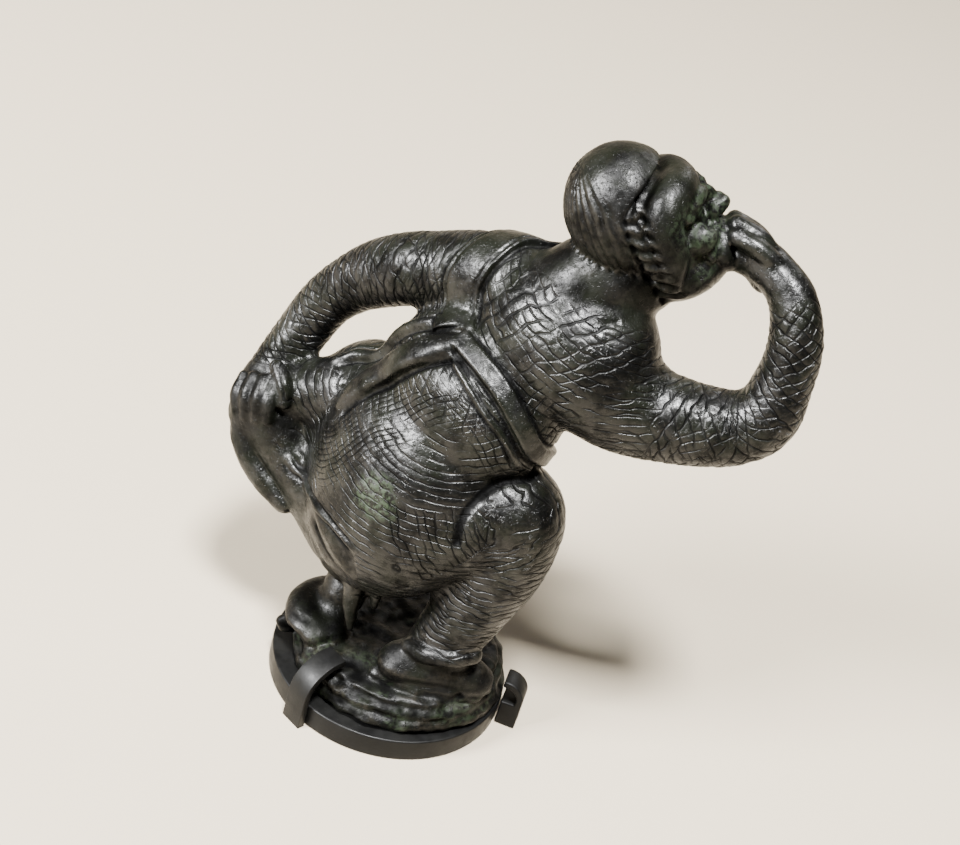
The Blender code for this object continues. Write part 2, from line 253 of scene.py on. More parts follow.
def head_axes() -> Array:
    """The head's forward, left and up directions as columns.

    Returns:
        The three unit directions, in the side view's axes.
    """
    forward = np.array((math.cos(HEAD_TILT) * math.cos(HEAD_YAW),
                        math.cos(HEAD_TILT) * math.sin(HEAD_YAW), math.sin(HEAD_TILT)))
    left = np.array((-math.sin(HEAD_YAW), math.cos(HEAD_YAW), 0))
    return np.stack([forward, left, np.cross(forward, left)], axis=1)


def nearest_on(points: Array, line: Array) -> tuple[Array, Array, Array]:
    """Where each point's nearest place on a line lies.

    The nearest row is found first, and then the foot of the perpendicular on the two pieces
    of line that meet there.

    Args:
        points: positions, one row each.
        line: the line's rows of x, y, z.

    Returns:
        The distance, the arc length along the line, and the foot, for each point.
    """
    line = line[:, :3]
    reach = arc_lengths(line)
    near = np.empty(len(points), int)
    for start in range(0, len(points), 20000):
        block = points[start:start + 20000]
        gaps = (line**2).sum(1)[None] - 2 * block @ line.T
        near[start:start + 20000] = gaps.argmin(1)
    best = np.full(len(points), np.inf)
    along = np.zeros(len(points))
    foot = np.zeros_like(points)
    for back in (1, 0):
        first = np.clip(near - back, 0, len(line) - 2)
        span = line[first + 1] - line[first]
        length = (span**2).sum(1)
        share = np.clip(((points - line[first]) * span).sum(1) / length, 0, 1)
        spot = line[first] + span * share[:, None]
        gap = np.linalg.norm(points - spot, axis=1)
        better = gap < best
        best = np.where(better, gap, best)
        along = np.where(better, reach[first] + share * np.sqrt(length), along)
        foot = np.where(better[:, None], spot, foot)
    return best, along, foot


def around(points: Array, foot: Array, along: Array, line: Array) -> Array:
    """The angle of each point round a line, from a side direction carried along the line.

    Args:
        points: positions, one row each.
        foot: each point's nearest place on the line.
        along: the arc length there.
        line: the line's rows.

    Returns:
        One angle in radians for each point.
    """
    tangents = np.gradient(line[:, :3], axis=0)
    tangents /= np.linalg.norm(tangents, axis=1)[:, None]
    side = np.cross(tangents[0], (0.0, 1.0, 0.0))
    sides = []
    for tangent in tangents:
        side = side - tangent * (side @ tangent)
        side = side / np.linalg.norm(side)
        sides.append(side)
    sides = np.array(sides)
    index = np.clip(np.searchsorted(arc_lengths(line), along), 0, len(line) - 1)
    offset = points - foot
    third = np.cross(tangents[index], sides[index])
    return np.arctan2((offset * third).sum(1), (offset * sides[index]).sum(1))


# Meshes


def as_mesh(name: str, surface: Surface) -> bpy.types.Mesh:
    """A mesh of the surface's triangles.

    Args:
        name: the mesh's name.
        surface: its points and triangles.

    Returns:
        The mesh.
    """
    points, triangles = surface
    mesh = bpy.data.meshes.new(name)
    mesh.vertices.add(len(points))
    mesh.vertices.foreach_set("co", points.astype(np.float32).ravel())
    mesh.loops.add(3 * len(triangles))
    mesh.loops.foreach_set("vertex_index", triangles.astype(np.int32).ravel())
    mesh.polygons.add(len(triangles))
    mesh.polygons.foreach_set("loop_start", np.arange(0, 3 * len(triangles), 3, dtype=np.int32))
    mesh.update(calc_edges=True)
    return mesh


def applied(mesh: bpy.types.Mesh, kind: str, **settings: object) -> bpy.types.Mesh:
    """The mesh after one modifier with the given settings.

    Args:
        mesh: the mesh, which is left as it is.
        kind: the modifier's type.
        settings: the modifier's own settings.

    Returns:
        A new mesh.
    """
    holder = bpy.data.objects.new("shaping", mesh)
    bpy.context.scene.collection.objects.link(holder)
    modifier = holder.modifiers.new(kind.lower(), kind)
    for key, value in settings.items():
        setattr(modifier, key, value)
    graph = bpy.context.evaluated_depsgraph_get()
    result = bpy.data.meshes.new_from_object(holder.evaluated_get(graph))
    bpy.data.objects.remove(holder)
    return result


def skinned(surfaces: list[Surface], voxel: float, soften: int) -> bpy.types.Mesh:
    """One closed skin round all the surfaces, softened."""
    skin = applied(as_mesh("forms", joined(surfaces)), "REMESH", mode="VOXEL", voxel_size=voxel)
    return applied(skin, "SMOOTH", factor=0.5, iterations=soften)


def rows_of(mesh: bpy.types.Mesh, key: str = "co") -> Array:
    """What the mesh's vertices hold under a key.

    Args:
        mesh: the mesh.
        key: co for the places, normal for the normals.

    Returns:
        One row for each vertex.
    """
    flat = np.empty(3 * len(mesh.vertices), np.float32)
    mesh.vertices.foreach_get(key, flat)
    return flat.reshape(-1, 3).astype(float)


def move(mesh: bpy.types.Mesh, points: Array) -> None:
    """Put the mesh's vertices at the points."""
    mesh.vertices.foreach_set("co", points.astype(np.float32).ravel())
    mesh.update()


def to_frame(points: Array) -> Array:
    """Points in the side view's millimetres, turned and scaled to the part's frame.

    Args:
        points: positions, one row each.

    Returns:
        The same points in metres.
    """
    cosine, sine = math.cos(TURN), math.sin(TURN)
    x = cosine * points[:, 0] - sine * points[:, 1]
    y = sine * points[:, 0] + cosine * points[:, 1]
    return np.stack([x, y, points[:, 2]], 1) * MM


def add_values(mesh: bpy.types.Mesh, name: str, values: Array) -> None:
    """Store one number for each vertex under a name that a material can read."""
    layer = mesh.attributes.new(name, "FLOAT", "POINT")
    layer.data.foreach_set("value", values.astype(np.float32))


def place(name: str, mesh: bpy.types.Mesh, material: bpy.types.Material) -> bpy.types.Object:
    """A smooth-shaded object of the mesh, at the origin, with its material.

    Args:
        name: the object's name.
        mesh: its mesh.
        material: its only material.

    Returns:
        The object.
    """
    mesh.name = name
    mesh.shade_smooth()
    mesh.materials.clear()
    mesh.materials.append(material)
    piece = bpy.data.objects.new(name, mesh)
    bpy.context.scene.collection.objects.link(piece)
    return piece


# Finishes


class Slot(Enum):
    """Names for the two materials."""

    BRONZE = "dark_bronze"
    PAINT = "black_paint"


class Graph:
    """A short way to build one material's nodes."""

    def __init__(self, name: str) -> None:
        """Start a material with only its shader and output.

        Args:
            name: the material's name.
        """
        self.material = bpy.data.materials.new(name)
        self.material.use_nodes = True
        self.tree = self.material.node_tree
        self.shader = self.tree.nodes["Principled BSDF"]
        coordinates = self.tree.nodes.new("ShaderNodeTexCoord")
        self.place = coordinates.outputs["Object"]

    def link(self, source: object, socket: bpy.types.NodeSocket) -> None:
        """Feed a socket from another socket, or set it to a plain value.

        Args:
            source: the other socket or the value.
            socket: the socket to feed.
        """
        if isinstance(source, bpy.types.NodeSocket):
            self.tree.links.new(source, socket)
        else:
            socket.default_value = source

    def feed(self, name: str, source: object) -> None:
        """Feed one of the shader's own inputs."""
        self.link(source, self.shader.inputs[name])

    def noise(self, size: float, detail: float = 3.0,
              roughness: float = 0.55) -> bpy.types.NodeSocket:
        """Cloudy noise whose cells are about size millimetres.

        Args:
            size: the cells' size.
            detail: how many finer layers lie over them.
            roughness: how strong the finer layers are.

        Returns:
            Values from 0 to 1.
        """
        node = self.tree.nodes.new("ShaderNodeTexNoise")
        node.inputs["Scale"].default_value = 1 / (size * MM)
        node.inputs["Detail"].default_value = detail
        node.inputs["Roughness"].default_value = roughness
        self.link(self.place, node.inputs["Vector"])
        return node.outputs["Fac"]

    def value(self, name: str) -> bpy.types.NodeSocket:
        """The piece's own stored values.

        Args:
            name: the name they are stored under.

        Returns:
            One number for each place.
        """
        node = self.tree.nodes.new("ShaderNodeAttribute")
        node.attribute_name = name
        return node.outputs["Fac"]

    def ramp(self, source: object, low: float, high: float, out_low: float = 0.0,
             out_high: float = 1.0) -> bpy.types.NodeSocket:
        """Source from low to high, eased to out_low to out_high.

        Args:
            source: what is mapped.
            low: where the ease starts.
            high: where it ends.
            out_low: the result at low and below.
            out_high: the result at high and above.

        Returns:
            The eased value.
        """
        node = self.tree.nodes.new("ShaderNodeMapRange")
        node.interpolation_type = "SMOOTHSTEP"
        for key, value in zip(("Value", "From Min", "From Max", "To Min", "To Max"),
                              (source, low, high, out_low, out_high)):
            self.link(value, node.inputs[key])
        return node.outputs["Result"]

    def math(self, kind: str, one: object, two: object = 0.0) -> bpy.types.NodeSocket:
        """One step of arithmetic.

        Args:
            kind: the operation's name.
            one: the first socket or number.
            two: the second, where the operation has one.

        Returns:
            The result.
        """
        node = self.tree.nodes.new("ShaderNodeMath")
        node.operation = kind
        self.link(one, node.inputs[0])
        self.link(two, node.inputs[1])
        return node.outputs[0]

    def mix(self, share: object, one: object, two: object) -> bpy.types.NodeSocket:
        """A colour between two colours.

        Args:
            share: 0 for the first colour, 1 for the second.
            one: the first colour or socket.
            two: the second colour or socket.

        Returns:
            The blended colour.
        """
        node = self.tree.nodes.new("ShaderNodeMix")
        node.data_type = "RGBA"
        self.link(share, node.inputs["Factor"])
        for socket, colour in ((node.inputs[6], one), (node.inputs[7], two)):
            self.link((*colour, 1) if isinstance(colour, tuple) else colour, socket)
        return node.outputs[2]

    def bump(self, height: bpy.types.NodeSocket, depth: float,
             under: bpy.types.NodeSocket | None = None) -> bpy.types.NodeSocket:
        """A relief depth millimetres deep, laid over another relief.

        Args:
            height: from 0 to 1.
            depth: the relief's depth.
            under: the relief below it.

        Returns:
            The bent normal.
        """
        node = self.tree.nodes.new("ShaderNodeBump")
        node.inputs["Distance"].default_value = depth * MM
        node.inputs["Strength"].default_value = 1.0
        self.link(height, node.inputs["Height"])
        if under is not None:
            self.link(under, node.inputs["Normal"])
        return node.outputs["Normal"]


@dataclass(frozen=True)
class BronzeFinish:
    """Dark patinated bronze: near-black, faintly green in clouds, brown where it is rubbed.

    Attributes:
        black: the patina's darker colour.
        green: its other colour, in clouds.
        verdigris: the stain's colour.
        rubbed: the worn ridges' colour.
        deep: the painted shade's colour, laid in the hollows and cut lines.
        metallic: how much the skin mirrors like bare metal under its patina.
        ior: the patina's index of refraction.
        roughness: the least and the most on clean skin.
        hollow_roughness: what a hollow adds to it.
        stain_roughness: what the stain adds.
        dull_roughness: what the dull places add.
        shine: the least and the most specular level on clean skin.
        hollow_shade_shine: the share of it left in a hollow, dimming the sheen there as painted
            shade.
        dull_shine: the share left on the dull places.
        line_share: half a cut line's width, as a share of the pitch.
        line_shade: how far a cut line is darkened as painted shade, like a hollow, from 0 to 1.
        line_depth: how deep a cut line looks, in millimetres like all that follow.
        skin_size: the size of the cast skin's grain.
        skin_depth: the grain's depth.
        pit_size: the size of the pits.
        pit_depth: the pits' depth.
    """

    black: Colour = (0.0009, 0.0009, 0.0008)
    green: Colour = (0.0022, 0.0025, 0.0016)
    verdigris: Colour = (0.0105, 0.0155, 0.008)
    rubbed: Colour = (0.0052, 0.0046, 0.0034)
    # deep is the colour of the painted shade in the hollows and cut lines.
    deep: Colour = (0.0005, 0.0005, 0.0005)
    metallic: float = 0.03
    ior: float = 1.5
    roughness: tuple[float, float] = (0.26, 0.38)
    hollow_roughness: float = 0.3
    stain_roughness: float = 0.25
    dull_roughness: float = 0.1
    shine: tuple[float, float] = (0.09, 0.27)
    hollow_shade_shine: float = 0.15
    dull_shine: float = 0.4
    line_share: float = 0.15
    line_shade: float = 0.8
    line_depth: float = 0.17
    skin_size: float = 1.2
    skin_depth: float = 0.12
    pit_size: float = 0.5
    pit_depth: float = 0.045

    def material(self) -> bpy.types.Material:
        """Patina in clouds, worn ridges, cut lines as fine relief, and a fine pitted skin; the
        hollows and cut lines are darkened as painted shade.

        Returns:
            The material.
        """
        graph = Graph("dark_bronze")
        cuts = None
        for name in CUT_LINES:
            share = graph.math("FRACT", graph.value(name))
            gap = graph.math("ABSOLUTE", graph.math("SUBTRACT", share, 0.5))
            cut = graph.math("MULTIPLY", graph.ramp(gap, 0.02, self.line_share, 1.0, 0.0),
                             graph.value(name + "_depth"))
            cuts = cut if cuts is None else graph.math("MAXIMUM", cuts, cut)
        cloud = graph.noise(8.0, 5.0, 0.6)
        fine = graph.noise(1.0, 4.0, 0.65)
        colour = graph.mix(graph.ramp(cloud, 0.42, 0.62), self.black, self.green)
        rubbed = graph.math("MULTIPLY", graph.value("ridge"), graph.ramp(fine, 0.35, 0.6))
        colour = graph.mix(rubbed, colour, self.rubbed)
        stain = graph.math("MULTIPLY", graph.value("stain"), graph.ramp(fine, 0.44, 0.58))
        colour = graph.mix(stain, colour, self.verdigris)
        # Painted shade: the hollows and cut lines are darkened to the deep colour, and their sheen
        # is dimmed below.
        hollow = graph.math("MAXIMUM", graph.value("hollow"),
                            graph.math("MULTIPLY", cuts, self.line_shade))
        colour = graph.mix(hollow, colour, self.deep)
        graph.feed("Base Color", colour)
        graph.feed("Metallic", self.metallic)
        graph.feed("IOR", self.ior)
        dull = graph.value("dull")
        rough = graph.ramp(graph.noise(3.0, 5.0, 0.65), 0.32, 0.68, *self.roughness)
        for share, more in ((hollow, self.hollow_roughness), (stain, self.stain_roughness),
                            (dull, self.dull_roughness)):
            rough = graph.math("ADD", rough, graph.math("MULTIPLY", share, more))
        graph.feed("Roughness", rough)
        shine = graph.ramp(graph.noise(5.0, 4.0, 0.65), 0.38, 0.6, *self.shine)
        for share, least in ((hollow, self.hollow_shade_shine), (dull, self.dull_shine)):
            shine = graph.math("MULTIPLY", shine, graph.ramp(share, 0.0, 1.0, 1.0, least))
        graph.feed("Specular IOR Level", shine)
        skin = graph.bump(graph.noise(self.skin_size, 3.0, 0.6), self.skin_depth)
        pits = graph.ramp(graph.noise(self.pit_size, 2.0), 0.28, 0.42)
        skin = graph.bump(pits, self.pit_depth, skin)
        height = graph.math("SUBTRACT", 1.0, cuts)
        graph.feed("Normal", graph.bump(height, self.line_depth, skin))
        return graph.material


@dataclass(frozen=True)
class PaintFinish:
    """Satin charcoal paint with a faint orange peel and a little dust.

    Attributes:
        colour: the paint's own colour.
        dusty: its colour where dust lies, in clouds.
        roughness: the least and the most.
        shine: its specular level.
        peel_size: the size of the orange peel, in millimetres.
        peel_depth: the orange peel's depth, in millimetres.
    """

    colour: Colour = (0.001, 0.001, 0.001)
    dusty: Colour = (0.0022, 0.0022, 0.002)
    roughness: tuple[float, float] = (0.38, 0.5)
    shine: float = 0.11
    peel_size: float = 0.5
    peel_depth: float = 0.02

    def material(self) -> bpy.types.Material:
        """Even dark paint, very slightly uneven in tone and gloss.

        Returns:
            The material.
        """
        graph = Graph("black_paint")
        colour = graph.mix(graph.ramp(graph.noise(7.0, 4.0), 0.35, 0.7), self.colour, self.dusty)
        graph.feed("Base Color", colour)
        rough = graph.ramp(graph.noise(2.0), 0.3, 0.7, *self.roughness)
        graph.feed("Roughness", rough)
        graph.feed("Specular IOR Level", self.shine)
        peel = graph.bump(graph.noise(self.peel_size, 3.0), self.peel_depth)
        graph.feed("Normal", peel)
        return graph.material


# The casting


@dataclass(frozen=True)
class Strip:
    """A strip of cloth lying on the body.

    Attributes:
        half_width: half its width.
        height: how far it stands proud.
        tapered: whether its ends run out.
        crown: how round its top is, from nearly flat at 0.3 to a half ellipse at 1.
        run: places near the body that it follows.
        edge_width: the width of the groove along its edges.
        edge_depth: how deep that groove is, or 0 for none.
    """

    half_width: float
    height: float
    tapered: bool
    crown: float
    run: Run
    edge_width: float = 0.4
    edge_depth: float = 0.4


@dataclass(frozen=True)
class Net:
    """A diamond net of cut lines round a limb.

    Attributes:
        limb: the limb's name.
        first: how far along the limb it starts.
        count: how many lines of each slant lie round the limb.
        pitch: the distance between lines along the limb.
        seed: picks how its lines waver and fade.
    """

    limb: str
    first: float
    count: int
    pitch: float
    seed: int


@dataclass(frozen=True)
class Hatching:
    """The costume's cut lines: where their rings spread from, and their pitches."""

    nets: tuple[Net, ...] = (Net("right_arm", 14, 18, 2.2, 11), Net("left_arm", 8, 14, 2.0, 21))
    shins: tuple[tuple[str, int], ...] = (("right_leg", 31), ("left_leg", 41))
    neck: Spot = (23, 6, 106)
    shoulder: Spot = (28, -1, 74)
    hip: Spot = (-1, -8, 80)
    shin_pitch: float = 1.75
    knee_pitch: float = 2.1
    neck_pitch: float = 1.5
    shoulder_pitch: float = 1.7
    hip_pitch: float = 1.55
    row_pitch: float = 1.15
    corner_pitch: float = 1.5


@dataclass(frozen=True)
class Relief:
    """How deep each kind of carving is, in millimetres."""

    hatching: float = 0.10
    strands: float = 0.42
    locks: float = 0.3
    folds: float = 0.55
    fine_folds: float = 0.15
    wrinkles: float = 0.4
    skin: float = 0.07
    fine_skin: float = 0.045
    mask: float = 0.28
    base: float = 0.3
    ridges: float = 0.38


@dataclass
class CastFigure:
    """The one-piece casting: body, costume, mask, hands, shoes and ridged base."""

    limbs: dict[str, Run] = field(default_factory=lambda: {
        "right_arm": [(20, 0, 86, 12), (27, -0.5, 82.5, 10.5), (33, -1.5, 81.5, 9),
                      (38.5, -2.5, 82.2, 8.3), (44, -3, 83.2, 7.7), (49.5, -3, 84.8, 7),
                      (53.4, -3, 89.1, 6.5), (54.2, -2, 95.3, 5.7), (54.1, -1, 102, 5.3),
                      (52.8, 0, 106.8, 4.9), (50.7, 2, 110.6, 4.5), (47.4, 4, 113, 4.1),
                      (44, 6.2, 114, 4.2), (40.8, 8.2, 113.6, 4)],
        "left_arm": [(2, 10, 93, 9), (-5, 13, 91.3, 8.4), (-11.5, 15, 88.8, 7.7),
                     (-17, 16, 86.8, 7.3), (-22.5, 18, 83, 7), (-28, 19.5, 78, 6.1),
                     (-32.8, 20, 71.4, 5.6), (-36.5, 18, 62.8, 5.4), (-39, 15, 56.8, 5.2),
                     (-40.5, 11, 52.1, 5.4), (-40.5, 8, 49, 5.2)],
        "right_leg": [(-2, -4, 48, 16), (8, -6, 52.5, 13), (15.5, -8, 55, 9.8), (16.2, -8, 45, 8.8),
                      (13.3, -8, 33, 7.9), (10, -8.5, 22, 7), (8.5, -9, 17, 6.6)],
        "left_leg": [(-10, 8, 50, 13), (-11.5, 17, 52, 11), (-13, 21, 50, 9.3),
                     (-13.5, 17, 38, 8.4), (-11.8, 7.8, 27, 6), (-12.6, 1.8, 19, 4.8),
                     (-13.2, 0, 16, 4.6)],
        "right_foot": [(2.5, -12.5, 15, 4.8), (8, -11.3, 15.4, 5.2), (13.5, -10, 14.2, 5),
                       (18, -8.8, 13.2, 4.2)],
        "left_foot": [(-15.5, -8.2, 12.2, 3.2), (-19.2, -5.6, 12.6, 3.6), (-20.4, -1.6, 12.8, 3.8),
                      (-19, 3.4, 12.5, 3.7), (-15.6, 7, 12, 3.3)],
        "left_instep": [(-12.5, -6, 12.4, 3.4), (-14.5, -2, 13, 3.8), (-13.7, 4, 12.2, 3.4)],
        "neck": [(13, 5, 96, 10), (19, 6, 103, 9), (24, 7, 104, 7.5)],
        "mantle": [(-36.5, 9, 48, 7), (-32.5, 8, 43.2, 6.8), (-27, 6, 39.8, 7),
                   (-21.5, 4, 36.2, 7.4), (-15, 1, 32.2, 8), (-8, 0, 29, 7.6)],
        "flank": [(-23, 10, 59, 8), (-29, 11, 56.5, 6.8), (-35.5, 11, 54, 5.6)],
    })
    masses: dict[str, tuple] = field(default_factory=lambda: {
        "pelvis": ((-6.5, 1.5, 51.5), (23, 18.5, 27), 40, 14),
        "left_hip": ((-19, 12, 54), (13, 12, 16), 40, 10),
        "waist": ((1, 3, 72), (20, 16, 18), 45, 25),
        "chest": ((14, 5, 88), (20, 15, 16), 58, 32),
        "shoulder": ((4, 9.5, 90), (12, 10, 11), 58, 20),
    })
    strips: dict[str, Strip] = field(default_factory=lambda: {
        "shoulder_strap": Strip(4.6, 1.0, False, 0.4, [
            (7, 18, 101), (1, 13.5, 101.5), (-3.4, 8.6, 99.2), (-5.9, 6.2, 95.8), (-6.9, 4.9, 92.4),
            (-6.6, 2.6, 89.1), (-6.2, -1.8, 86.2)], edge_depth=0.5),
        "waist_roll": Strip(3.5, 2.0, True, 0.6, [
            (-3.6, -4.6, 86), (-8.6, -4.1, 82.8), (-12.8, -2.9, 78.3), (-17.1, -0.5, 71.5),
            (-20.7, -0.1, 66.8), (-23.8, 0.1, 61.6)], edge_width=0.5, edge_depth=0.9),
        "second_fold": Strip(1.9, 1.5, True, 0.8, [
            (-7.9, 0.9, 86), (-14.2, 4.3, 80.6), (-19, 7, 74.5), (-24, 9.8, 68.5), (-27, 9, 64)],
            edge_depth=0.5),
        "side_band": Strip(2.5, 1.1, False, 0.45, [
            (-4.6, -3.2, 86), (0.1, -7.6, 85.2), (5.4, -10.7, 82.7), (11, -12.5, 77.6),
            (15.3, -10.8, 71.7), (19, -4, 67), (17, 6, 63), (9, 17, 60), (-2, 25, 60)],
            edge_depth=0.6),
        "panel_lip": Strip(0.9, 1.0, True, 1.0, [
            (-5.3, -6.2, 83.8), (-0.4, -11, 81.3), (4, -13.6, 78.2), (8.9, -14.3, 74.6),
            (12.8, -12.5, 68.4)]),
        "mantle_edge": Strip(1.1, 0.7, True, 0.8, [
            (-31.5, 2.1, 45.7), (-28.9, -0.5, 44.3), (-25.2, -3.6, 43.9), (-21.2, -10.5, 44.5),
            (-16.6, -14.8, 43.9), (-12.2, -17.3, 42.3)]),
        "mantle_hem": Strip(1.1, 1.3, True, 1.0, [
            (-22, -6, 35), (-19.3, -7.7, 33), (-18, -7.2, 30.2), (-16.4, -7.5, 28.5),
            (-14.3, -7.5, 26.6), (-11.6, -7.1, 25.2), (-8.4, -7.2, 25), (-4.5, -7, 24.4)],
            edge_depth=0),
    })
    piping: tuple[tuple[str, float, float, float], ...] = (
        ("shoulder_strap", 3.3, 0.3, 0.3), ("side_band", 1.2, 0.3, 0.2))
    details: dict[str, Run] = field(default_factory=lambda: {
        "fold": [(-42.6, 6, 50, 1.8), (-41.4, 5.6, 45, 2.8), (-38.4, 4.4, 40.7, 3.0),
                 (-34.4, 2.8, 37.4, 2.8), (-29.6, 1.4, 34.6, 2.4)],
        "tail": [(-10.8, -7.2, 26, 2.2), (-10.2, -8.6, 22.5, 1.7), (-9.2, -10.6, 18, 0.7)],
        "small_tail": [(-6.4, -6.2, 26, 1.5), (-5.8, -6.8, 22.3, 0.9)],
        "left_finger_1": [(-43.9, 8.6, 56.4, 1.3), (-44.2, 6.2, 53.6, 1.5), (-43.4, 5, 50.4, 1.2)],
        "left_finger_2": [(-41.8, 7.6, 57.4, 1.4), (-42, 5, 54.4, 1.6), (-41.3, 4, 50.6, 1.3)],
        "left_finger_3": [(-39.6, 6.8, 58, 1.4), (-39.6, 4.2, 55, 1.6), (-38.9, 3.4, 51, 1.3)],
        "left_finger_4": [(-37.4, 6.6, 58.2, 1.3), (-37.3, 3.9, 55.4, 1.5),
                          (-36.6, 3.2, 51.8, 1.2)],
        "left_thumb": [(-38, 9, 60.4, 1.6), (-35.4, 6, 58.6, 1.7), (-34.4, 4.4, 55.6, 1.3)],
        "thumb": [(47.2, 4.4, 111, 1.9), (45, 5, 110.6, 2), (43, 6, 111.6, 1.7)],
        "finger_1": [(45.4, 3.2, 115.8, 1.8), (42, 3.6, 117.2, 1.9), (38, 5.2, 117.6, 1.8)],
        "finger_2": [(45, 5.4, 116.2, 1.8), (41.6, 6, 118.2, 1.9), (37.4, 7.4, 118.9, 1.8)],
        "finger_3": [(44.4, 7.6, 116, 1.8), (41, 8.4, 118, 1.9), (37, 9.6, 118.7, 1.8)],
        "finger_4": [(43.4, 9.6, 114.8, 1.8), (40.2, 10.6, 116.2, 1.8), (36.8, 11.8, 116.8, 1.7)],
        "shoe_cuff": [(3.6, -12.4, 19.5, 2), (7, -14.8, 21, 2), (12, -15, 22.2, 2),
                      (16, -12.4, 22.6, 1.9)],
        "right_sole": [(-1, -14, 12.2, 2.2), (5, -15, 12.4, 2.2), (12, -13.8, 12.2, 2.2),
                       (19, -11, 12, 2)],
        "base_lump": [(-22.4, -4.4, 9, 1.8), (-23.4, -4.8, 9.8, 1.6)],
    })
    cap_centre: Spot = (0.2, 1.9, 0.0)
    cap_half: Spot = (11.4, 12.7, 11.2)
    cap_edge: Run = field(default_factory=lambda: [
        (-30, 0.4), (-3, 0.3), (2, 0.5), (5.6, 1.4), (7.6, 3.2), (8.3, 5.8), (8.7, 9.5),
        (9.2, 14), (30, 14)])
    head_masses: dict[str, tuple] = field(default_factory=lambda: {
        "skull": ((0.2, -1.2, 0), (9.8, 10.6, 10.4)),
        "face": ((4.2, -5.6, 0), (8.4, 11.8, 8.6)),
        "nose_bridge": ((13.2, -1.9, 0), (1.5, 2.7, 2.6)),
        "nose": ((14.7, -4.2, 0), (2.5, 2.0, 2.7)),
        "nostrils": ((13.8, -4.8, 1.9), (1.2, 1.3, 1.6)),
        "eyes": ((11.2, -2.2, 4.1), (2.0, 1.5, 1.7)),
        "cheeks": ((9.9, -6.6, 5.6), (2.8, 2.9, 3.2)),
        "jaw": ((5.0, -13.0, 0), (8.4, 5.6, 9.0)),
    })
    head_rolls: dict[str, Run] = field(default_factory=lambda: {
        "hair_roll": [(2.4, -10.6, 7.4, 2.6), (4.2, -6.4, 8.4, 3.2), (5.0, -1.2, 8.4, 3.6),
                      (6.6, 1.8, 7.0, 3.8), (9.0, 2.8, 4.2, 3.8), (10.3, 2.6, 0, 3.8),
                      (9.0, 2.8, -4.2, 3.8), (6.6, 1.8, -7.0, 3.8), (5.0, -1.2, -8.4, 3.6),
                      (4.2, -6.4, -8.4, 3.2), (2.4, -10.6, -7.4, 2.6)],
        "locks": [(2.4, 6.4, 8.8, 0.7), (1.2, 3.4, 10.3, 1.0), (0.7, -1, 10.9, 1.2),
                  (0.7, -5, 10.3, 1.2), (1.2, -9.4, 8.6, 1.1), (2.0, -12, 7.2, 0.9)],
        "brows": [(13.4, -0.8, 0.5, 1.1), (13.4, 0.2, 2.2, 1.3), (12.2, 0.3, 4.6, 1.4),
                  (9.8, -1.4, 6.8, 1.1)],
        "creases": [(13.6, -6.2, 2.2, 0.8), (12.4, -7.6, 4.6, 1.0), (10.4, -10.4, 6.8, 0.9)],
        "mouth": [(14.2, -8.0, 0, 1.3), (13.4, -8.8, 3.6, 1.4), (12.6, -11.4, 5.6, 1.5),
                  (12.8, -14.4, 4.2, 1.5), (13.4, -15.6, 0, 1.6), (12.8, -14.4, -4.2, 1.5),
                  (12.6, -11.4, -5.6, 1.5), (13.4, -8.8, -3.6, 1.4), (14.2, -8.0, 0, 1.3)],
    })
    creases: list[tuple[Run, float, float]] = field(default_factory=lambda: [
        ([(16.5, -8.5, 66), (15.1, -10.4, 65), (11.2, -12.5, 64.7), (8.3, -14.4, 62),
          (6.2, -16.8, 58.8), (5.8, -18, 55.2), (6.2, -18.8, 52.6)], 0.9, 0.9),
        ([(10, -10.4, 98), (16, -8.5, 99), (22, -5, 99.5)], 0.7, 0.4)])
    pits: tuple[tuple[Spot, float, float], ...] = (
        ((16, -14.2, 12.4), 0.9, 1.0), ((-21.5, 4.5, 70.5), 1.3, 0.9))
    mantle_top: Run = field(default_factory=lambda: [
        (-50, 50), (-31.5, 46), (-25, 44), (-16.6, 44.5), (-12.2, 42), (-8, 30)])
    right_hand: Spot = (42, 7, 115)
    left_hand: Spot = (-41, 7, 51)
    stain: Spot = (-10.8, -17.3, 55.4)
    hatching: Hatching = Hatching()
    relief: Relief = Relief()
    base_profile: Run = field(default_factory=lambda: [
        (0.0, 0.0), (22.6, 0), (23.1, 1.2), (22.8, 2.3), (21.8, 2.9), (22.1, 3.9), (21.3, 4.7),
        (20.3, 5.0), (20.2, 6.0), (18.8, 6.5), (12.0, 6.6), (0.0, 6.6)])
    base_waves: Run = field(default_factory=lambda: [
        (3, 0.25, 0.4), (5, 0.2, 2.0), (11, 0.16, 1.1), (17, 0.12, 3.3)])
    body_voxel: float = 0.7
    body_soften: int = 12
    skin_voxel: float = 0.36
    skin_soften: int = 4
    triangles: int = 192000
    strip_sides: int = 32
    strip_root: float = 1.2
    base_sides: int = 180

    def body(self) -> bpy.types.Mesh:
        """The body, limbs and mantle as one soft skin, before costume and head are added.

        Returns:
            The skin as a mesh.
        """
        forms = [limb(run) for run in self.limbs.values()]
        for centre, (across, deep, high), yaw, pitch in self.masses.values():
            forms.append(mass(np.array(centre), (deep, across, high), turned_axes(yaw, pitch)))
        return skinned(forms, self.body_voxel, self.body_soften)

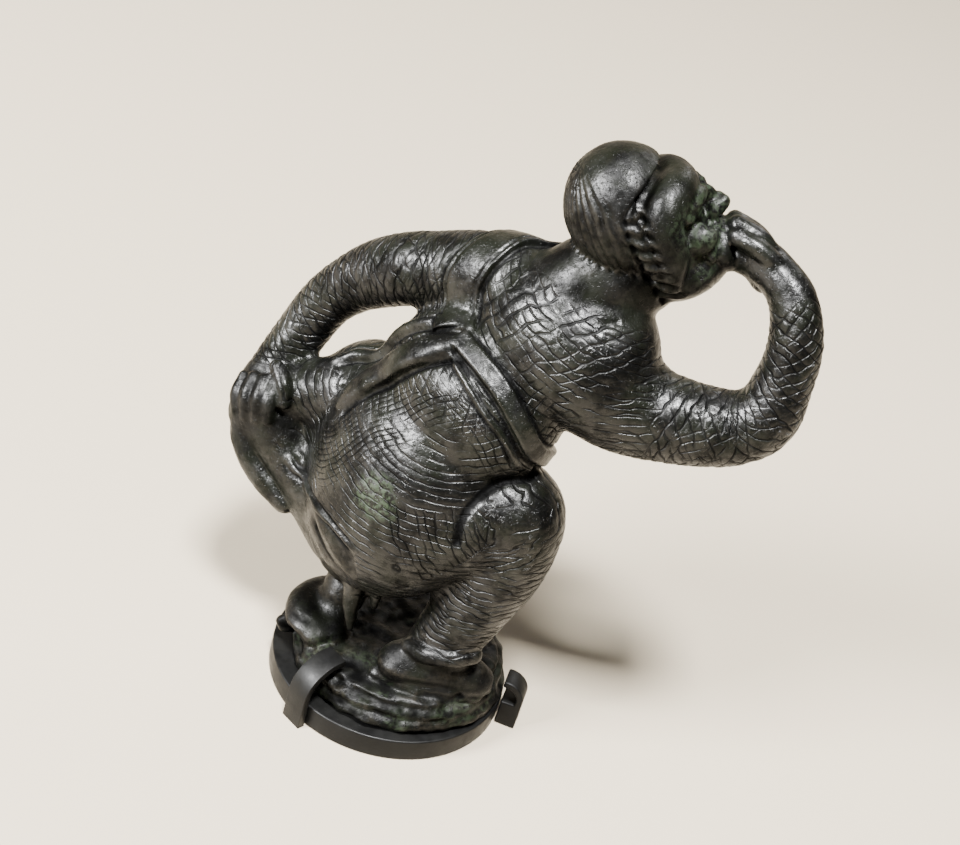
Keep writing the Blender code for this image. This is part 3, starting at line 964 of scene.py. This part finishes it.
    def laid(self, strip: Strip, skin: BVHTree) -> tuple[Surface, Array]:
        """A pillow-shaped strip on the skin.

        Each ring is the ellipse (half_width cos t, height sin t) across the strip's way, stood
        on the nearest place of the skin; tapered strips shrink with sin^0.35 of their length.

        Args:
            strip: the strip's sizes and run.
            skin: the body's skin.

        Returns:
            The strip's surface, and its line on the skin.
        """
        line = curve(strip.run, 0.5)
        hits = [skin.find_nearest(Vector(row)) for row in line]
        spots = np.array([hit[0] for hit in hits])
        normals = np.array([hit[1] for hit in hits])
        for _ in range(6):
            spots[1:-1] = (spots[:-2] + 2 * spots[1:-1] + spots[2:]) / 4
            normals[1:-1] = (normals[:-2] + 2 * normals[1:-1] + normals[2:]) / 4
        normals /= np.linalg.norm(normals, axis=1)[:, None]
        across = np.cross(np.gradient(spots, axis=0), normals)
        across /= np.linalg.norm(across, axis=1)[:, None]
        share = np.ones(len(line))
        if strip.tapered:
            share = np.sin(math.pi * (np.arange(len(line)) + 0.6) / (len(line) + 0.2)) ** 0.35
        sides, root = self.strip_sides, self.strip_root
        turn = np.linspace(0, 2 * math.pi, sides, endpoint=False)
        reach = strip.half_width * share[:, None] * np.sign(np.cos(turn))
        reach = reach * np.abs(np.cos(turn)) ** 0.8
        rise = np.sign(np.sin(turn)) * np.abs(np.sin(turn)) ** strip.crown
        lift = (strip.height * share[:, None] + root) * rise - root
        rings = (spots[:, None] + across[:, None] * reach[..., None]
                 + normals[:, None] * lift[..., None]).reshape(-1, 3)
        count = len(rings)
        points = np.vstack([rings, spots[0] - normals[0] * root, spots[-1] - normals[-1] * root])
        ring = np.arange(sides)
        after = (ring + 1) % sides
        first = np.stack([np.full(sides, count), after, ring], 1)
        start = count - sides
        last = np.stack([np.full(sides, count + 1), start + ring, start + after], 1)
        return (points, np.concatenate([grid_triangles(len(line), sides), first, last])), spots

    def base(self) -> Surface:
        """The base's profile turned round its centre, its radius wavering with the angle.

        The waver is the sum of size sin(count angle + phase + height) over the waves, and leaves
        the floor and the top flat.

        Returns:
            The base's surface.
        """
        sides = self.base_sides
        turn = np.linspace(0, 2 * math.pi, sides, endpoint=False)
        profile = np.array(self.base_profile)
        reach, height = profile[:, :1], profile[:, 1:]
        waver = np.zeros((len(profile), sides))
        for count, size, phase in self.base_waves:
            waver += size * np.sin(count * turn[None] + phase + height)
        inner = (height > 0.5) & (height < 6.5)
        radius = np.maximum(reach + np.where(inner, waver, 0), 0.01)
        points = np.stack([BASE_CENTRE[0] + radius * np.cos(turn),
                           BASE_CENTRE[1] + radius * np.sin(turn),
                           np.broadcast_to(BASE_FLOOR + height, radius.shape)], -1)
        return points.reshape(-1, 3), grid_triangles(len(profile), sides)

    def head(self) -> list[Surface]:
        """The thrown-back head: skull, cap of hair, and a mask of traditional parts.

        A part that lies wholly to the left of the face's middle has its twin on the right.

        Returns:
            One surface for each part.
        """
        axes = head_axes()
        points, triangles = ball(128)
        across, high, deep = self.cap_half
        forward, up, left = self.cap_centre
        points = points * (deep, across, high) + (forward, left, up)
        edge = np.array(self.cap_edge)
        points[:, 0] = np.minimum(points[:, 0], np.interp(points[:, 2], edge[:, 0], edge[:, 1]))
        forms = [(HEAD_CENTRE + points @ axes.T, triangles)]
        for (forward, up, left), (across, high, deep) in self.head_masses.values():
            for side in (left, -left) if left > 0 else (left,):
                spot = HEAD_CENTRE + axes @ np.array((forward, side, up))
                forms.append(mass(spot, (deep, across, high), axes))
        for run in self.head_rolls.values():
            rows = np.array(run, float)
            for side in (1, -1) if rows[:, 2].min() > 0 else (1,):
                spots = HEAD_CENTRE + rows[:, [0, 2, 1]] * (1, side, 1) @ axes.T
                forms.append(limb(np.column_stack([spots, rows[:, 3]])))
        return forms

    def build(self, finish: BronzeFinish) -> bpy.types.Object:
        """Join the forms, carve them and dress them.

        Args:
            finish: the bronze's look.

        Returns:
            The finished piece.
        """
        body = self.body()
        skin = BVHTree.FromPolygons([tuple(row) for row in rows_of(body)],
                                    [tuple(face.vertices) for face in body.polygons])
        body.calc_loop_triangles()
        triangles = np.empty(3 * len(body.loop_triangles), np.int32)
        body.loop_triangles.foreach_get("vertices", triangles)
        forms = [(rows_of(body), triangles.reshape(-1, 3))]
        lines = {}
        for name, strip in self.strips.items():
            surface, lines[name] = self.laid(strip, skin)
            forms.append(surface)
        forms += [limb(run) for run in self.details.values()]
        forms += self.head()
        forms.append(self.base())
        mesh = skinned(forms, self.skin_voxel, self.skin_soften)
        points = rows_of(mesh)
        carving = Carving(self, lines, points)
        move(mesh, points + rows_of(mesh, "normal") * carving.depth[:, None])
        share = self.triangles / (2 * len(mesh.polygons))
        mesh = applied(mesh, "DECIMATE", ratio=min(share, 1.0), use_collapse_triangulate=True)
        points = rows_of(mesh)
        for name, values in Carving(self, lines, points).values().items():
            add_values(mesh, name, values)
        move(mesh, to_frame(points))
        return place("cast_figure", mesh, finish.material())


class Carving:
    """How deep each place of the casting is cut, and what its finish reads."""

    def __init__(self, figure: CastFigure, lines: dict[str, Array], points: Array) -> None:
        """Work out the masks, the cut lines and the depth at each point.

        Args:
            figure: the casting's sizes.
            lines: the strips' lines on the skin.
            points: the places, in the side view's millimetres.
        """
        self.points = points
        self.figure = figure
        self.lines = lines
        self.head_place = (points - HEAD_CENTRE) @ head_axes()
        forward, _, up = self.head_place.T
        head_gap = np.linalg.norm(self.head_place, axis=1)
        self.on_head = (smooth_step(20.0, 18.0, head_gap) * smooth_step(94, 98, points[:, 2])
                        * smooth_step(-17, -14, up) * smooth_step(24, 21, forward - up))
        self.on_base = smooth_step(14.2, 12.2, points[:, 2])
        self.phases = {name: np.zeros(len(points)) for name in CUT_LINES}
        self.depths = {name: np.zeros(len(points)) for name in CUT_LINES}
        self.depth = np.zeros(len(points))
        self.plain_cloth()
        self.hatch_limbs()
        self.hatch_back()
        self.hatch_hips()
        self.cut_lines()
        self.comb_hair()
        self.fold_cloth()
        self.weather()

    def away(self, spot: Spot) -> Array:
        """How far each place is from a spot."""
        return np.linalg.norm(self.points - spot, axis=1)

    def plain_cloth(self) -> None:
        """Mark the smooth strips, the mantle and the hands, which have no hatching."""
        x, _, z = self.points.T
        clear = np.ones(len(self.points))
        self.edge_gap = {}
        self.beside = {}
        for name, line in self.lines.items():
            half = self.figure.strips[name].half_width
            gap, along, _ = nearest_on(self.points, line)
            self.edge_gap[name] = gap
            last = arc_lengths(line)[-1]
            self.beside[name] = smooth_step(0.1, 2.5, along) * smooth_step(0.1, 2.5, last - along)
            clear *= smooth_step(half * 0.9, half * 1.1, gap)
        edge = np.interp(x, *np.array(self.figure.mantle_top).T)
        self.mantle = smooth_step(1, -1, z - edge) * smooth_step(-9, -11, x)
        self.mantle = self.mantle * smooth_step(20, 23, z)
        hand = smooth_step(15, 13, self.away(self.figure.right_hand)) * smooth_step(108, 111, z)
        self.left_hand = smooth_step(10, 8.5, self.away(self.figure.left_hand))
        self.shoes = smooth_step(24, 20, z) * (1 - self.on_base)
        self.suit = clear * (1 - self.mantle) * (1 - hand) * (1 - self.left_hand)
        self.suit = self.suit * smooth_step(20, 24, z) * ((1 - self.on_head) * (1 - self.on_base))

    def cut(self, name: str, phase: Array, strength: Array, seed: int) -> None:
        """Lay a family of cut lines where it is stronger than those of its name already there.

        The lines waver by a third of their pitch over 5 mm and by a fifth over 1.6 mm, and fade
        out here and there.

        Args:
            name: which of the families.
            phase: counts the lines; a line lies at each half.
            strength: how deep the lines are, from 0 to 1.
            seed: picks how the lines waver and fade.
        """
        waver = 0.32 * noise(self.points, 5.0, seed) + 0.2 * noise(self.points, 1.6, seed + 1)
        fade = smooth_step(-0.35, 0.3, noise(self.points, 2.6, seed + 2) + 0.15)
        strength = strength * (0.1 + 0.9 * fade)
        better = strength > self.depths[name]
        self.phases[name] = np.where(better, phase + waver, self.phases[name])
        self.depths[name] = np.where(better, strength, self.depths[name])

    def by_limb(self, name: str) -> tuple[Array, Array, Array]:
        """Where each place lies by a limb.

        Args:
            name: the limb's name.

        Returns:
            How near it is to the limb's skin, from 0 to 1, how far along the limb it is, and
            its angle round the limb.
        """
        line = curve(self.figure.limbs[name], 0.8)
        gap, along, foot = nearest_on(self.points, line)
        radius = np.interp(along, arc_lengths(line), line[:, 3])
        return smooth_step(2.4, 1.2, gap - radius), along, around(self.points, foot, along, line)

    def hatch_limbs(self) -> None:
        """A diamond net round the arms, and wavering rings round the shins."""
        x, _, z = self.points.T
        hatching = self.figure.hatching
        for net in hatching.nets:
            near, along, turn = self.by_limb(net.limb)
            mask = near * smooth_step(net.first, net.first + 5, along)
            turn = turn / (2 * math.pi)
            for name, way, share, seed in (("arm_one", 1, 1.0, net.seed),
                                           ("arm_two", -1, 0.9, net.seed + 5)):
                phase = along / net.pitch + way * net.count / 2 * turn
                self.cut(name, phase, share * mask * self.suit, seed)
        for name, seed in hatching.shins:
            near, along, turn = self.by_limb(name)
            near = near * self.suit
            ripple = 0.5 * np.sin(2 * turn) + 0.3 * noise(self.points, 2.5, seed + 7)
            shin = near * smooth_step(62, 56, z)
            self.cut("leg_one", along / hatching.shin_pitch + ripple, shin, seed)
            knee = near * smooth_step(44, 49, z) * smooth_step(70, 66, z) * smooth_step(6, 10, x)
            self.cut("leg_two", along / hatching.knee_pitch - 3.5 * turn, knee, seed + 4)

    def hatch_back(self) -> None:
        """Rings round the neck crossed by rings round the right shoulder, over chest and back."""
        hatching = self.figure.hatching
        mask = smooth_step(72, 76, self.points[:, 2]) * self.suit * (1 - self.depths["arm_one"])
        neck = self.away(hatching.neck)
        mask = mask * smooth_step(12, 14.5, neck)
        self.cut("back_one", neck / hatching.neck_pitch, 0.95 * mask, 51)
        shoulder = self.away(hatching.shoulder)
        self.cut("back_two", shoulder / hatching.shoulder_pitch, 0.85 * mask, 61)

    def hatch_hips(self) -> None:
        """Long arcs below the panel, rows beside the roll, and a crossing by the side band."""
        _, y, z = self.points.T
        hatching = self.figure.hatching
        mask = smooth_step(90, 86, z) * smooth_step(22, 25, z) * self.suit
        mask = mask * (1 - self.depths["leg_two"])
        mask = mask * smooth_step(72, 70, z - 0.8 * np.maximum(-y - 2, 0))
        arcs = np.linalg.norm((self.points - hatching.hip) * (0.8, 0.8, 1.0), axis=1)
        rings = 0.85 * mask * smooth_step(7, 12, arcs)
        self.cut("hip_rings", arcs / hatching.hip_pitch, rings, 71)
        roll = self.edge_gap["waist_roll"]
        rows = smooth_step(19, 12, roll) * smooth_step(0.5, 2, -y - 1)
        self.cut("hip_rows", roll / hatching.row_pitch, 0.9 * mask * rows, 81)
        band = self.edge_gap["side_band"]
        corner = smooth_step(12, 8, band) * smooth_step(66, 70, z + 0.6 * band)
        self.cut("hip_corner", band / hatching.corner_pitch, 0.9 * mask * corner, 91)

    def groove(self, gap: Array, width: float, depth: float | Array) -> None:
        """Cut a soft groove where gap is nought: depth times exp(-(gap / width)^2)."""
        self.depth -= depth * np.exp(-(gap / width) ** 2)

    def cut_lines(self) -> None:
        """The hatching as grooves, and sharper lines at the strips' edges, creases and pits."""
        for name in CUT_LINES:
            share = np.abs(self.phases[name] % 1 - 0.5)
            self.groove(share, 0.2, self.figure.relief.hatching * self.depths[name])
        for name, strip in self.figure.strips.items():
            gap = self.edge_gap[name] - strip.half_width
            self.groove(gap, strip.edge_width, strip.edge_depth * self.beside[name])
        for name, out, width, depth in self.figure.piping:
            self.groove(self.edge_gap[name] - out, width, depth * self.beside[name])
        for line, width, depth in self.figure.creases:
            gap, _, _ = nearest_on(self.points, curve(line, 0.5))
            self.groove(gap, width, depth)
        for spot, width, depth in self.figure.pits:
            self.groove(self.away(spot), width, depth)

    def comb_hair(self) -> None:
        """Strands down the back of the cap, a cut round its edge, and twisted side locks."""
        relief = self.figure.relief
        forward, left, up = self.head_place.T
        edge = np.array(self.figure.cap_edge)
        behind = np.interp(up, edge[:, 0], edge[:, 1]) - forward
        cap = smooth_step(0.6, 1.6, behind) * self.on_head
        across, high, deep = self.figure.cap_half
        ahead, rise, aside = self.figure.cap_centre
        parts = ((forward - ahead) / deep, (up - rise) / high, (left - aside) / across)
        cap = cap * smooth_step(1.10, 1.04, np.sqrt(sum(part**2 for part in parts)))
        back = smooth_step(3, -1, forward + 0.35 * up) * cap
        strand = np.arctan2(left, -forward - 3) * 9 + 0.05 * up
        strand = strand + 0.9 * noise(self.points, 5.0, 91) + 0.3 * noise(self.points, 2.0, 92)
        self.depth += relief.strands * back * (np.abs(np.sin(strand * 1.9)) - 0.65)
        rim = np.where(self.on_head > 0.5, behind - 1.2, 9) + 3 * smooth_step(6, 9, up)
        self.groove(rim, 0.45, 0.45)
        lock = self.on_head * smooth_step(3.0, 1.5, np.abs(behind + 0.6))
        lock = lock * smooth_step(6.5, 4.5, up)
        self.depth += relief.locks * lock * np.sin((up + 0.7 * forward) * 2.2)

    def fold_cloth(self) -> None:
        """Long shallow folds down the mantle, and wrinkles round the shoes and ankles."""
        relief = self.figure.relief
        drawn = self.points @ turned_axes(-18, 35) * (0.16, 1.0, 1.0)
        self.depth += (relief.folds * self.mantle * noise(drawn, 3.4, 121)
                       + relief.fine_folds * self.mantle * noise(drawn, 1.4, 122))
        wrinkle = noise(self.points * (0.3, 0.3, 1.5), 2.2, 123)
        self.depth += relief.wrinkles * self.shoes * wrinkle

    def weather(self) -> None:
        """Uneven cast skin everywhere, coarser on the base and on the mask."""
        points = self.points
        relief = self.figure.relief
        self.depth += (relief.skin * noise(points, 2.6, 101)
                       + relief.fine_skin * noise(points, 1.1, 102))
        forward, _, up = self.head_place.T
        self.mask = self.on_head * smooth_step(5, 9, forward) * smooth_step(3, 0, up)
        coarse = relief.mask * self.mask + relief.base * self.on_base
        self.depth += coarse * noise(points, 1.7, 103)
        ridge = (noise(points * (0.3, 0.3, 1.5), 2.0, 104)
                 + 0.6 * noise(points * (0.4, 0.4, 1.2), 1.2, 105))
        self.depth += relief.ridges * self.on_base * ridge

    def values(self) -> dict[str, Array]:
        """What the finish reads.

        Returns:
            One number for each place under each name: the stain, the hollows that get painted
            shade, the rubbed ridges, how dull it is, and each family's line count and depth.
        """
        ragged = self.away(self.figure.stain) + 1.8 * noise(self.points, 2.5, 111)
        patches = smooth_step(0.1, 0.5, noise(self.points, 4.0, 112))
        stain = np.maximum(smooth_step(6.0, 3.0, ragged), 0.6 * self.mask)
        made = {"stain": np.maximum(stain, 0.35 * self.on_base * patches),
                # Painted shade: places carved deeper than about 0.12 mm are darkened in the finish.
                "hollow": smooth_step(0.12, 0.5, -self.depth),
                "ridge": smooth_step(0.02, 0.14, self.depth),
                "dull": np.maximum.reduce([0.6 * self.on_head, self.on_base, self.shoes,
                                           0.6 * self.left_hand])}
        for name in CUT_LINES:
            made[name] = self.phases[name]
            made[name + "_depth"] = self.depths[name]
        return made


@dataclass
class DisplayPlate:
    """The disc under the casting."""

    edge: float = 0.4
    ring: float = 12.0
    sides: int = 240

    def build(self, finish: PaintFinish) -> bpy.types.Object:
        """Turn the plate's outline, with rounded rims, about its axis.

        Args:
            finish: the paint.

        Returns:
            The finished piece.
        """
        bend = np.radians(np.linspace(0, 90, 7))
        low = np.stack([PLATE_RADIUS - self.edge + self.edge * np.sin(bend),
                        self.edge * (1 - np.cos(bend))], 1)
        high = low[::-1] * (1, -1) + (0, PLATE_HEIGHT)
        profile = np.vstack([(0.01, 0), (self.ring, 0), low,
                             high, (self.ring, PLATE_HEIGHT), (0.01, PLATE_HEIGHT)])
        turn = np.linspace(0, 2 * math.pi, self.sides, endpoint=False)
        height = np.broadcast_to(profile[:, 1:], (len(profile), self.sides))
        reach = profile[:, :1]
        points = np.stack([reach * np.cos(turn), reach * np.sin(turn), height], -1)
        triangles = grid_triangles(len(profile), self.sides)
        mesh = as_mesh("plate", (to_frame(points.reshape(-1, 3)), triangles))
        return place("display_plate", mesh, finish.material())


@dataclass
class BentClip:
    """A flat strap that stands by the plate and bends in over the casting's base.

    Attributes:
        name: the piece's name.
        angle: where it stands round the base, in degrees.
        top: the height of its upper end.
        tip: how far from the base's axis that end lies.
        width: the strap's width.
        thickness: the strap's thickness.
        radius: how far from the base's axis it stands.
        tab: the height of the foot that reaches in to the plate.
        rounding: how far its edges are rounded.
    """

    name: str
    angle: float
    top: float
    tip: float
    width: float = 5.0
    thickness: float = 1.5
    radius: float = CLIP_RADIUS
    tab: float = 1.4
    rounding: float = 0.35

    def outline(self) -> Array:
        """The strap's side outline as rows of radius and height, all round.

        The middle line goes up, round a quarter circle and in, and the outline lies half the
        thickness to each side of it, with a tab at the foot towards the plate.

        Returns:
            The outline's rows.
        """
        bend = 0.8 * min(self.top, self.radius - self.tip)
        share = np.radians(np.linspace(0, 90, 25))
        path = np.stack([self.radius - bend * (1 - np.cos(share)),
                         self.top - bend * (1 - np.sin(share))], 1)
        path = np.vstack([(self.radius, 0), path, (self.tip, self.top)])
        tangents = np.gradient(path, axis=0)
        tangents[0] = (0, 1)
        tangents /= np.linalg.norm(tangents, axis=1)[:, None]
        across = self.thickness / 2 * np.stack([tangents[:, 1], -tangents[:, 0]], 1)
        turn = math.radians(self.angle)
        aside = BASE_CENTRE[0] * math.cos(turn) + BASE_CENTRE[1] * math.sin(turn)
        off_axis = BASE_CENTRE[0] ** 2 + BASE_CENTRE[1] ** 2
        rim = math.sqrt(PLATE_RADIUS**2 + aside**2 - off_axis) - aside
        inner = self.radius - self.thickness / 2
        foot = min(rim + GAP, inner)
        return np.vstack([path + across, (path - across)[:0:-1],
                          [(inner, self.tab), (foot, self.tab), (foot, 0)]])

    def build(self, material: bpy.types.Material) -> bpy.types.Object:
        """Give the outline its width, round its edges and stand it round the base.

        Args:
            material: the paint.

        Returns:
            The finished piece.
        """
        outline = self.outline()
        count = len(outline)
        turn = math.radians(self.angle)
        sides = []
        for side in (-self.width / 2, self.width / 2):
            x = BASE_CENTRE[0] + outline[:, 0] * math.cos(turn) - side * math.sin(turn)
            y = BASE_CENTRE[1] + outline[:, 0] * math.sin(turn) + side * math.cos(turn)
            sides.append(np.stack([x, y, outline[:, 1]], 1))
        points = to_frame(np.vstack(sides))
        ring = np.arange(count)
        after = (ring + 1) % count
        faces = [tuple(row) for row in np.stack([ring, after, after + count, ring + count], 1)]
        mesh = bpy.data.meshes.new(self.name)
        mesh.from_pydata([tuple(row) for row in points], [],
                         faces + [tuple(reversed(range(count))), tuple(range(count, 2 * count))])
        mesh = applied(mesh, "BEVEL", width=self.rounding * MM, segments=3, limit_method="ANGLE",
                       angle_limit=math.radians(50))
        return place(self.name, mesh, material)


@dataclass(frozen=True)
class Lamp:
    """A square soft light turned to the casting.

    Attributes:
        name: the light's name.
        place: how far it stands to the right of, behind and above the studio's aim, in metres.
        size: its side, in metres.
        power: its power, in watts.
    """

    name: str
    place: Spot
    size: float
    power: float


@dataclass(frozen=True)
class Studio:
    """The pale floor, the soft lights and the camera at the photograph's angle, in metres."""

    camera_place: Spot = (-0.2068, 0.1686, 0.2369)
    pitch: float = math.radians(32.4)
    roll: float = math.radians(17.0)
    lens: float = 61.875
    sensor: float = 36
    floor_colour: Colour = (0.24, 0.203, 0.148)
    floor_front: float = -3.0
    floor_back: float = 0.9
    floor_side: float = 4
    bend_radius: float = 0.8
    wall_height: float = 3.0
    aim: Spot = (0, 0, 0.06)
    lamps: tuple[Lamp, ...] = (Lamp("key", (0.05, -0.42, 1.25), 0.24, 170.0),
                               Lamp("left", (-1.02, -0.66, 0.72), 0.45, 180.0),
                               Lamp("back", (0.4, 0.9, 0.8), 0.35, 5.0))
    room_colour: Colour = (1.0, 0.97, 0.92)
    room_strength: float = 0.03

    def directions(self) -> tuple[Vector, Vector, Vector]:
        """The side view's X and away directions and the upright, in the part's frame."""
        return (Vector((math.cos(TURN), math.sin(TURN), 0)),
                Vector((-math.sin(TURN), math.cos(TURN), 0)), Vector((0, 0, 1)))

    def camera(self) -> None:
        """Stand the camera where the photograph was taken from, leaning as it leaned."""
        along, away, upright = self.directions()
        ahead = away * math.cos(self.pitch) - upright * math.sin(self.pitch)
        rise = away * math.sin(self.pitch) + upright * math.cos(self.pitch)
        right = math.cos(self.roll) * along + math.sin(self.roll) * rise
        top = -math.sin(self.roll) * along + math.cos(self.roll) * rise
        data = bpy.data.cameras.new("photo_camera")
        data.lens = self.lens
        data.sensor_width = self.sensor
        data.clip_start = 0.01
        camera = bpy.data.objects.new("photo_camera", data)
        camera.matrix_world = Matrix.Translation(self.camera_place) @ Matrix(
            (right, top, -ahead)).transposed().to_4x4()
        bpy.context.scene.collection.objects.link(camera)
        bpy.context.scene.camera = camera

    def floor(self) -> None:
        """A wide pale floor that turns up into a wall behind, as one curved sheet."""
        along, away, upright = self.directions()
        bend = np.radians(np.linspace(0, 90, 24))
        curved = np.stack([self.floor_back + self.bend_radius * np.sin(bend),
                           self.bend_radius * (1 - np.cos(bend))], 1)
        wall = (self.floor_back + self.bend_radius, self.wall_height)
        profile = np.vstack([(self.floor_front, 0), curved, wall])
        rows = [along * side + away * float(reach) + upright * float(height)
                for side in (-self.floor_side, self.floor_side) for reach, height in profile]
        count = len(profile)
        faces = [(k, k + count, k + count + 1, k + 1) for k in range(count - 1)]
        mesh = bpy.data.meshes.new("floor")
        mesh.from_pydata([tuple(row) for row in rows], [], faces)
        graph = Graph("pale_floor")
        graph.feed("Base Color", (*self.floor_colour, 1))
        graph.feed("Roughness", 0.7)
        place("floor", mesh, graph.material)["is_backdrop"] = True

    def lights(self) -> None:
        """A key overhead, a light from the left, a faint one from behind and a dim warm room."""
        along, away, upright = self.directions()
        aim = Vector(self.aim)
        for lamp in self.lamps:
            side, back, high = lamp.place
            data = bpy.data.lights.new(lamp.name, "AREA")
            data.size = lamp.size
            data.energy = lamp.power
            light = bpy.data.objects.new(lamp.name, data)
            light.location = aim + along * side + away * back + upright * high
            light.rotation_mode = "QUATERNION"
            light.rotation_quaternion = (aim - light.location).to_track_quat("-Z", "Y")
            bpy.context.scene.collection.objects.link(light)
        world = bpy.data.worlds.new("room")
        world.use_nodes = True
        background = world.node_tree.nodes["Background"]
        background.inputs["Color"].default_value = (*self.room_colour, 1)
        background.inputs["Strength"].default_value = self.room_strength
        bpy.context.scene.world = world


def bent_clips() -> list[BentClip]:
    """Two clips that bend over the base's top, and a shorter one that holds it by the rim.

    Returns:
        The clips in order round the base.
    """
    over = BASE_FLOOR + BASE_HEIGHT + CLIP_LIFT
    beside = BASE_FLOOR + BASE_HEIGHT - CLIP_DROP
    tip, short_tip = CLIP_RADIUS - CLIP_REACH, CLIP_RADIUS - CLIP_SHORT_REACH
    return [BentClip("clip_strap_front_left", -127.0, over, tip),
            BentClip("clip_strap_right", -6.0, beside, short_tip, tab=CLIP_TALL_TAB),
            BentClip("clip_strap_back", 117.0, over, tip)]


def main() -> tuple[Vector, Vector]:
    """Build and dress every piece.
    """
    logging.basicConfig(level=logging.INFO, format="%(message)s")
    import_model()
    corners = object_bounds()
    figure = CastFigure().build(BronzeFinish())
    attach(figure, "root")
    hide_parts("figure")
    log.info("%s: %d triangles", figure.name, len(figure.data.polygons))
    plate = DisplayPlate().build(PaintFinish())
    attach(plate, "root")
    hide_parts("plate")
    for clip in bent_clips():
        piece = clip.build(plate.data.materials[0])
        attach(piece, "root")
        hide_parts(clip.name.replace("clip_strap", "clip"))
        log.info("%s: %d faces", piece.name, len(piece.data.polygons))
    studio = Studio()
    studio.floor()
    studio.lights()
    studio.camera()
    return corners


if __name__ == "__main__":
    BOX = main()
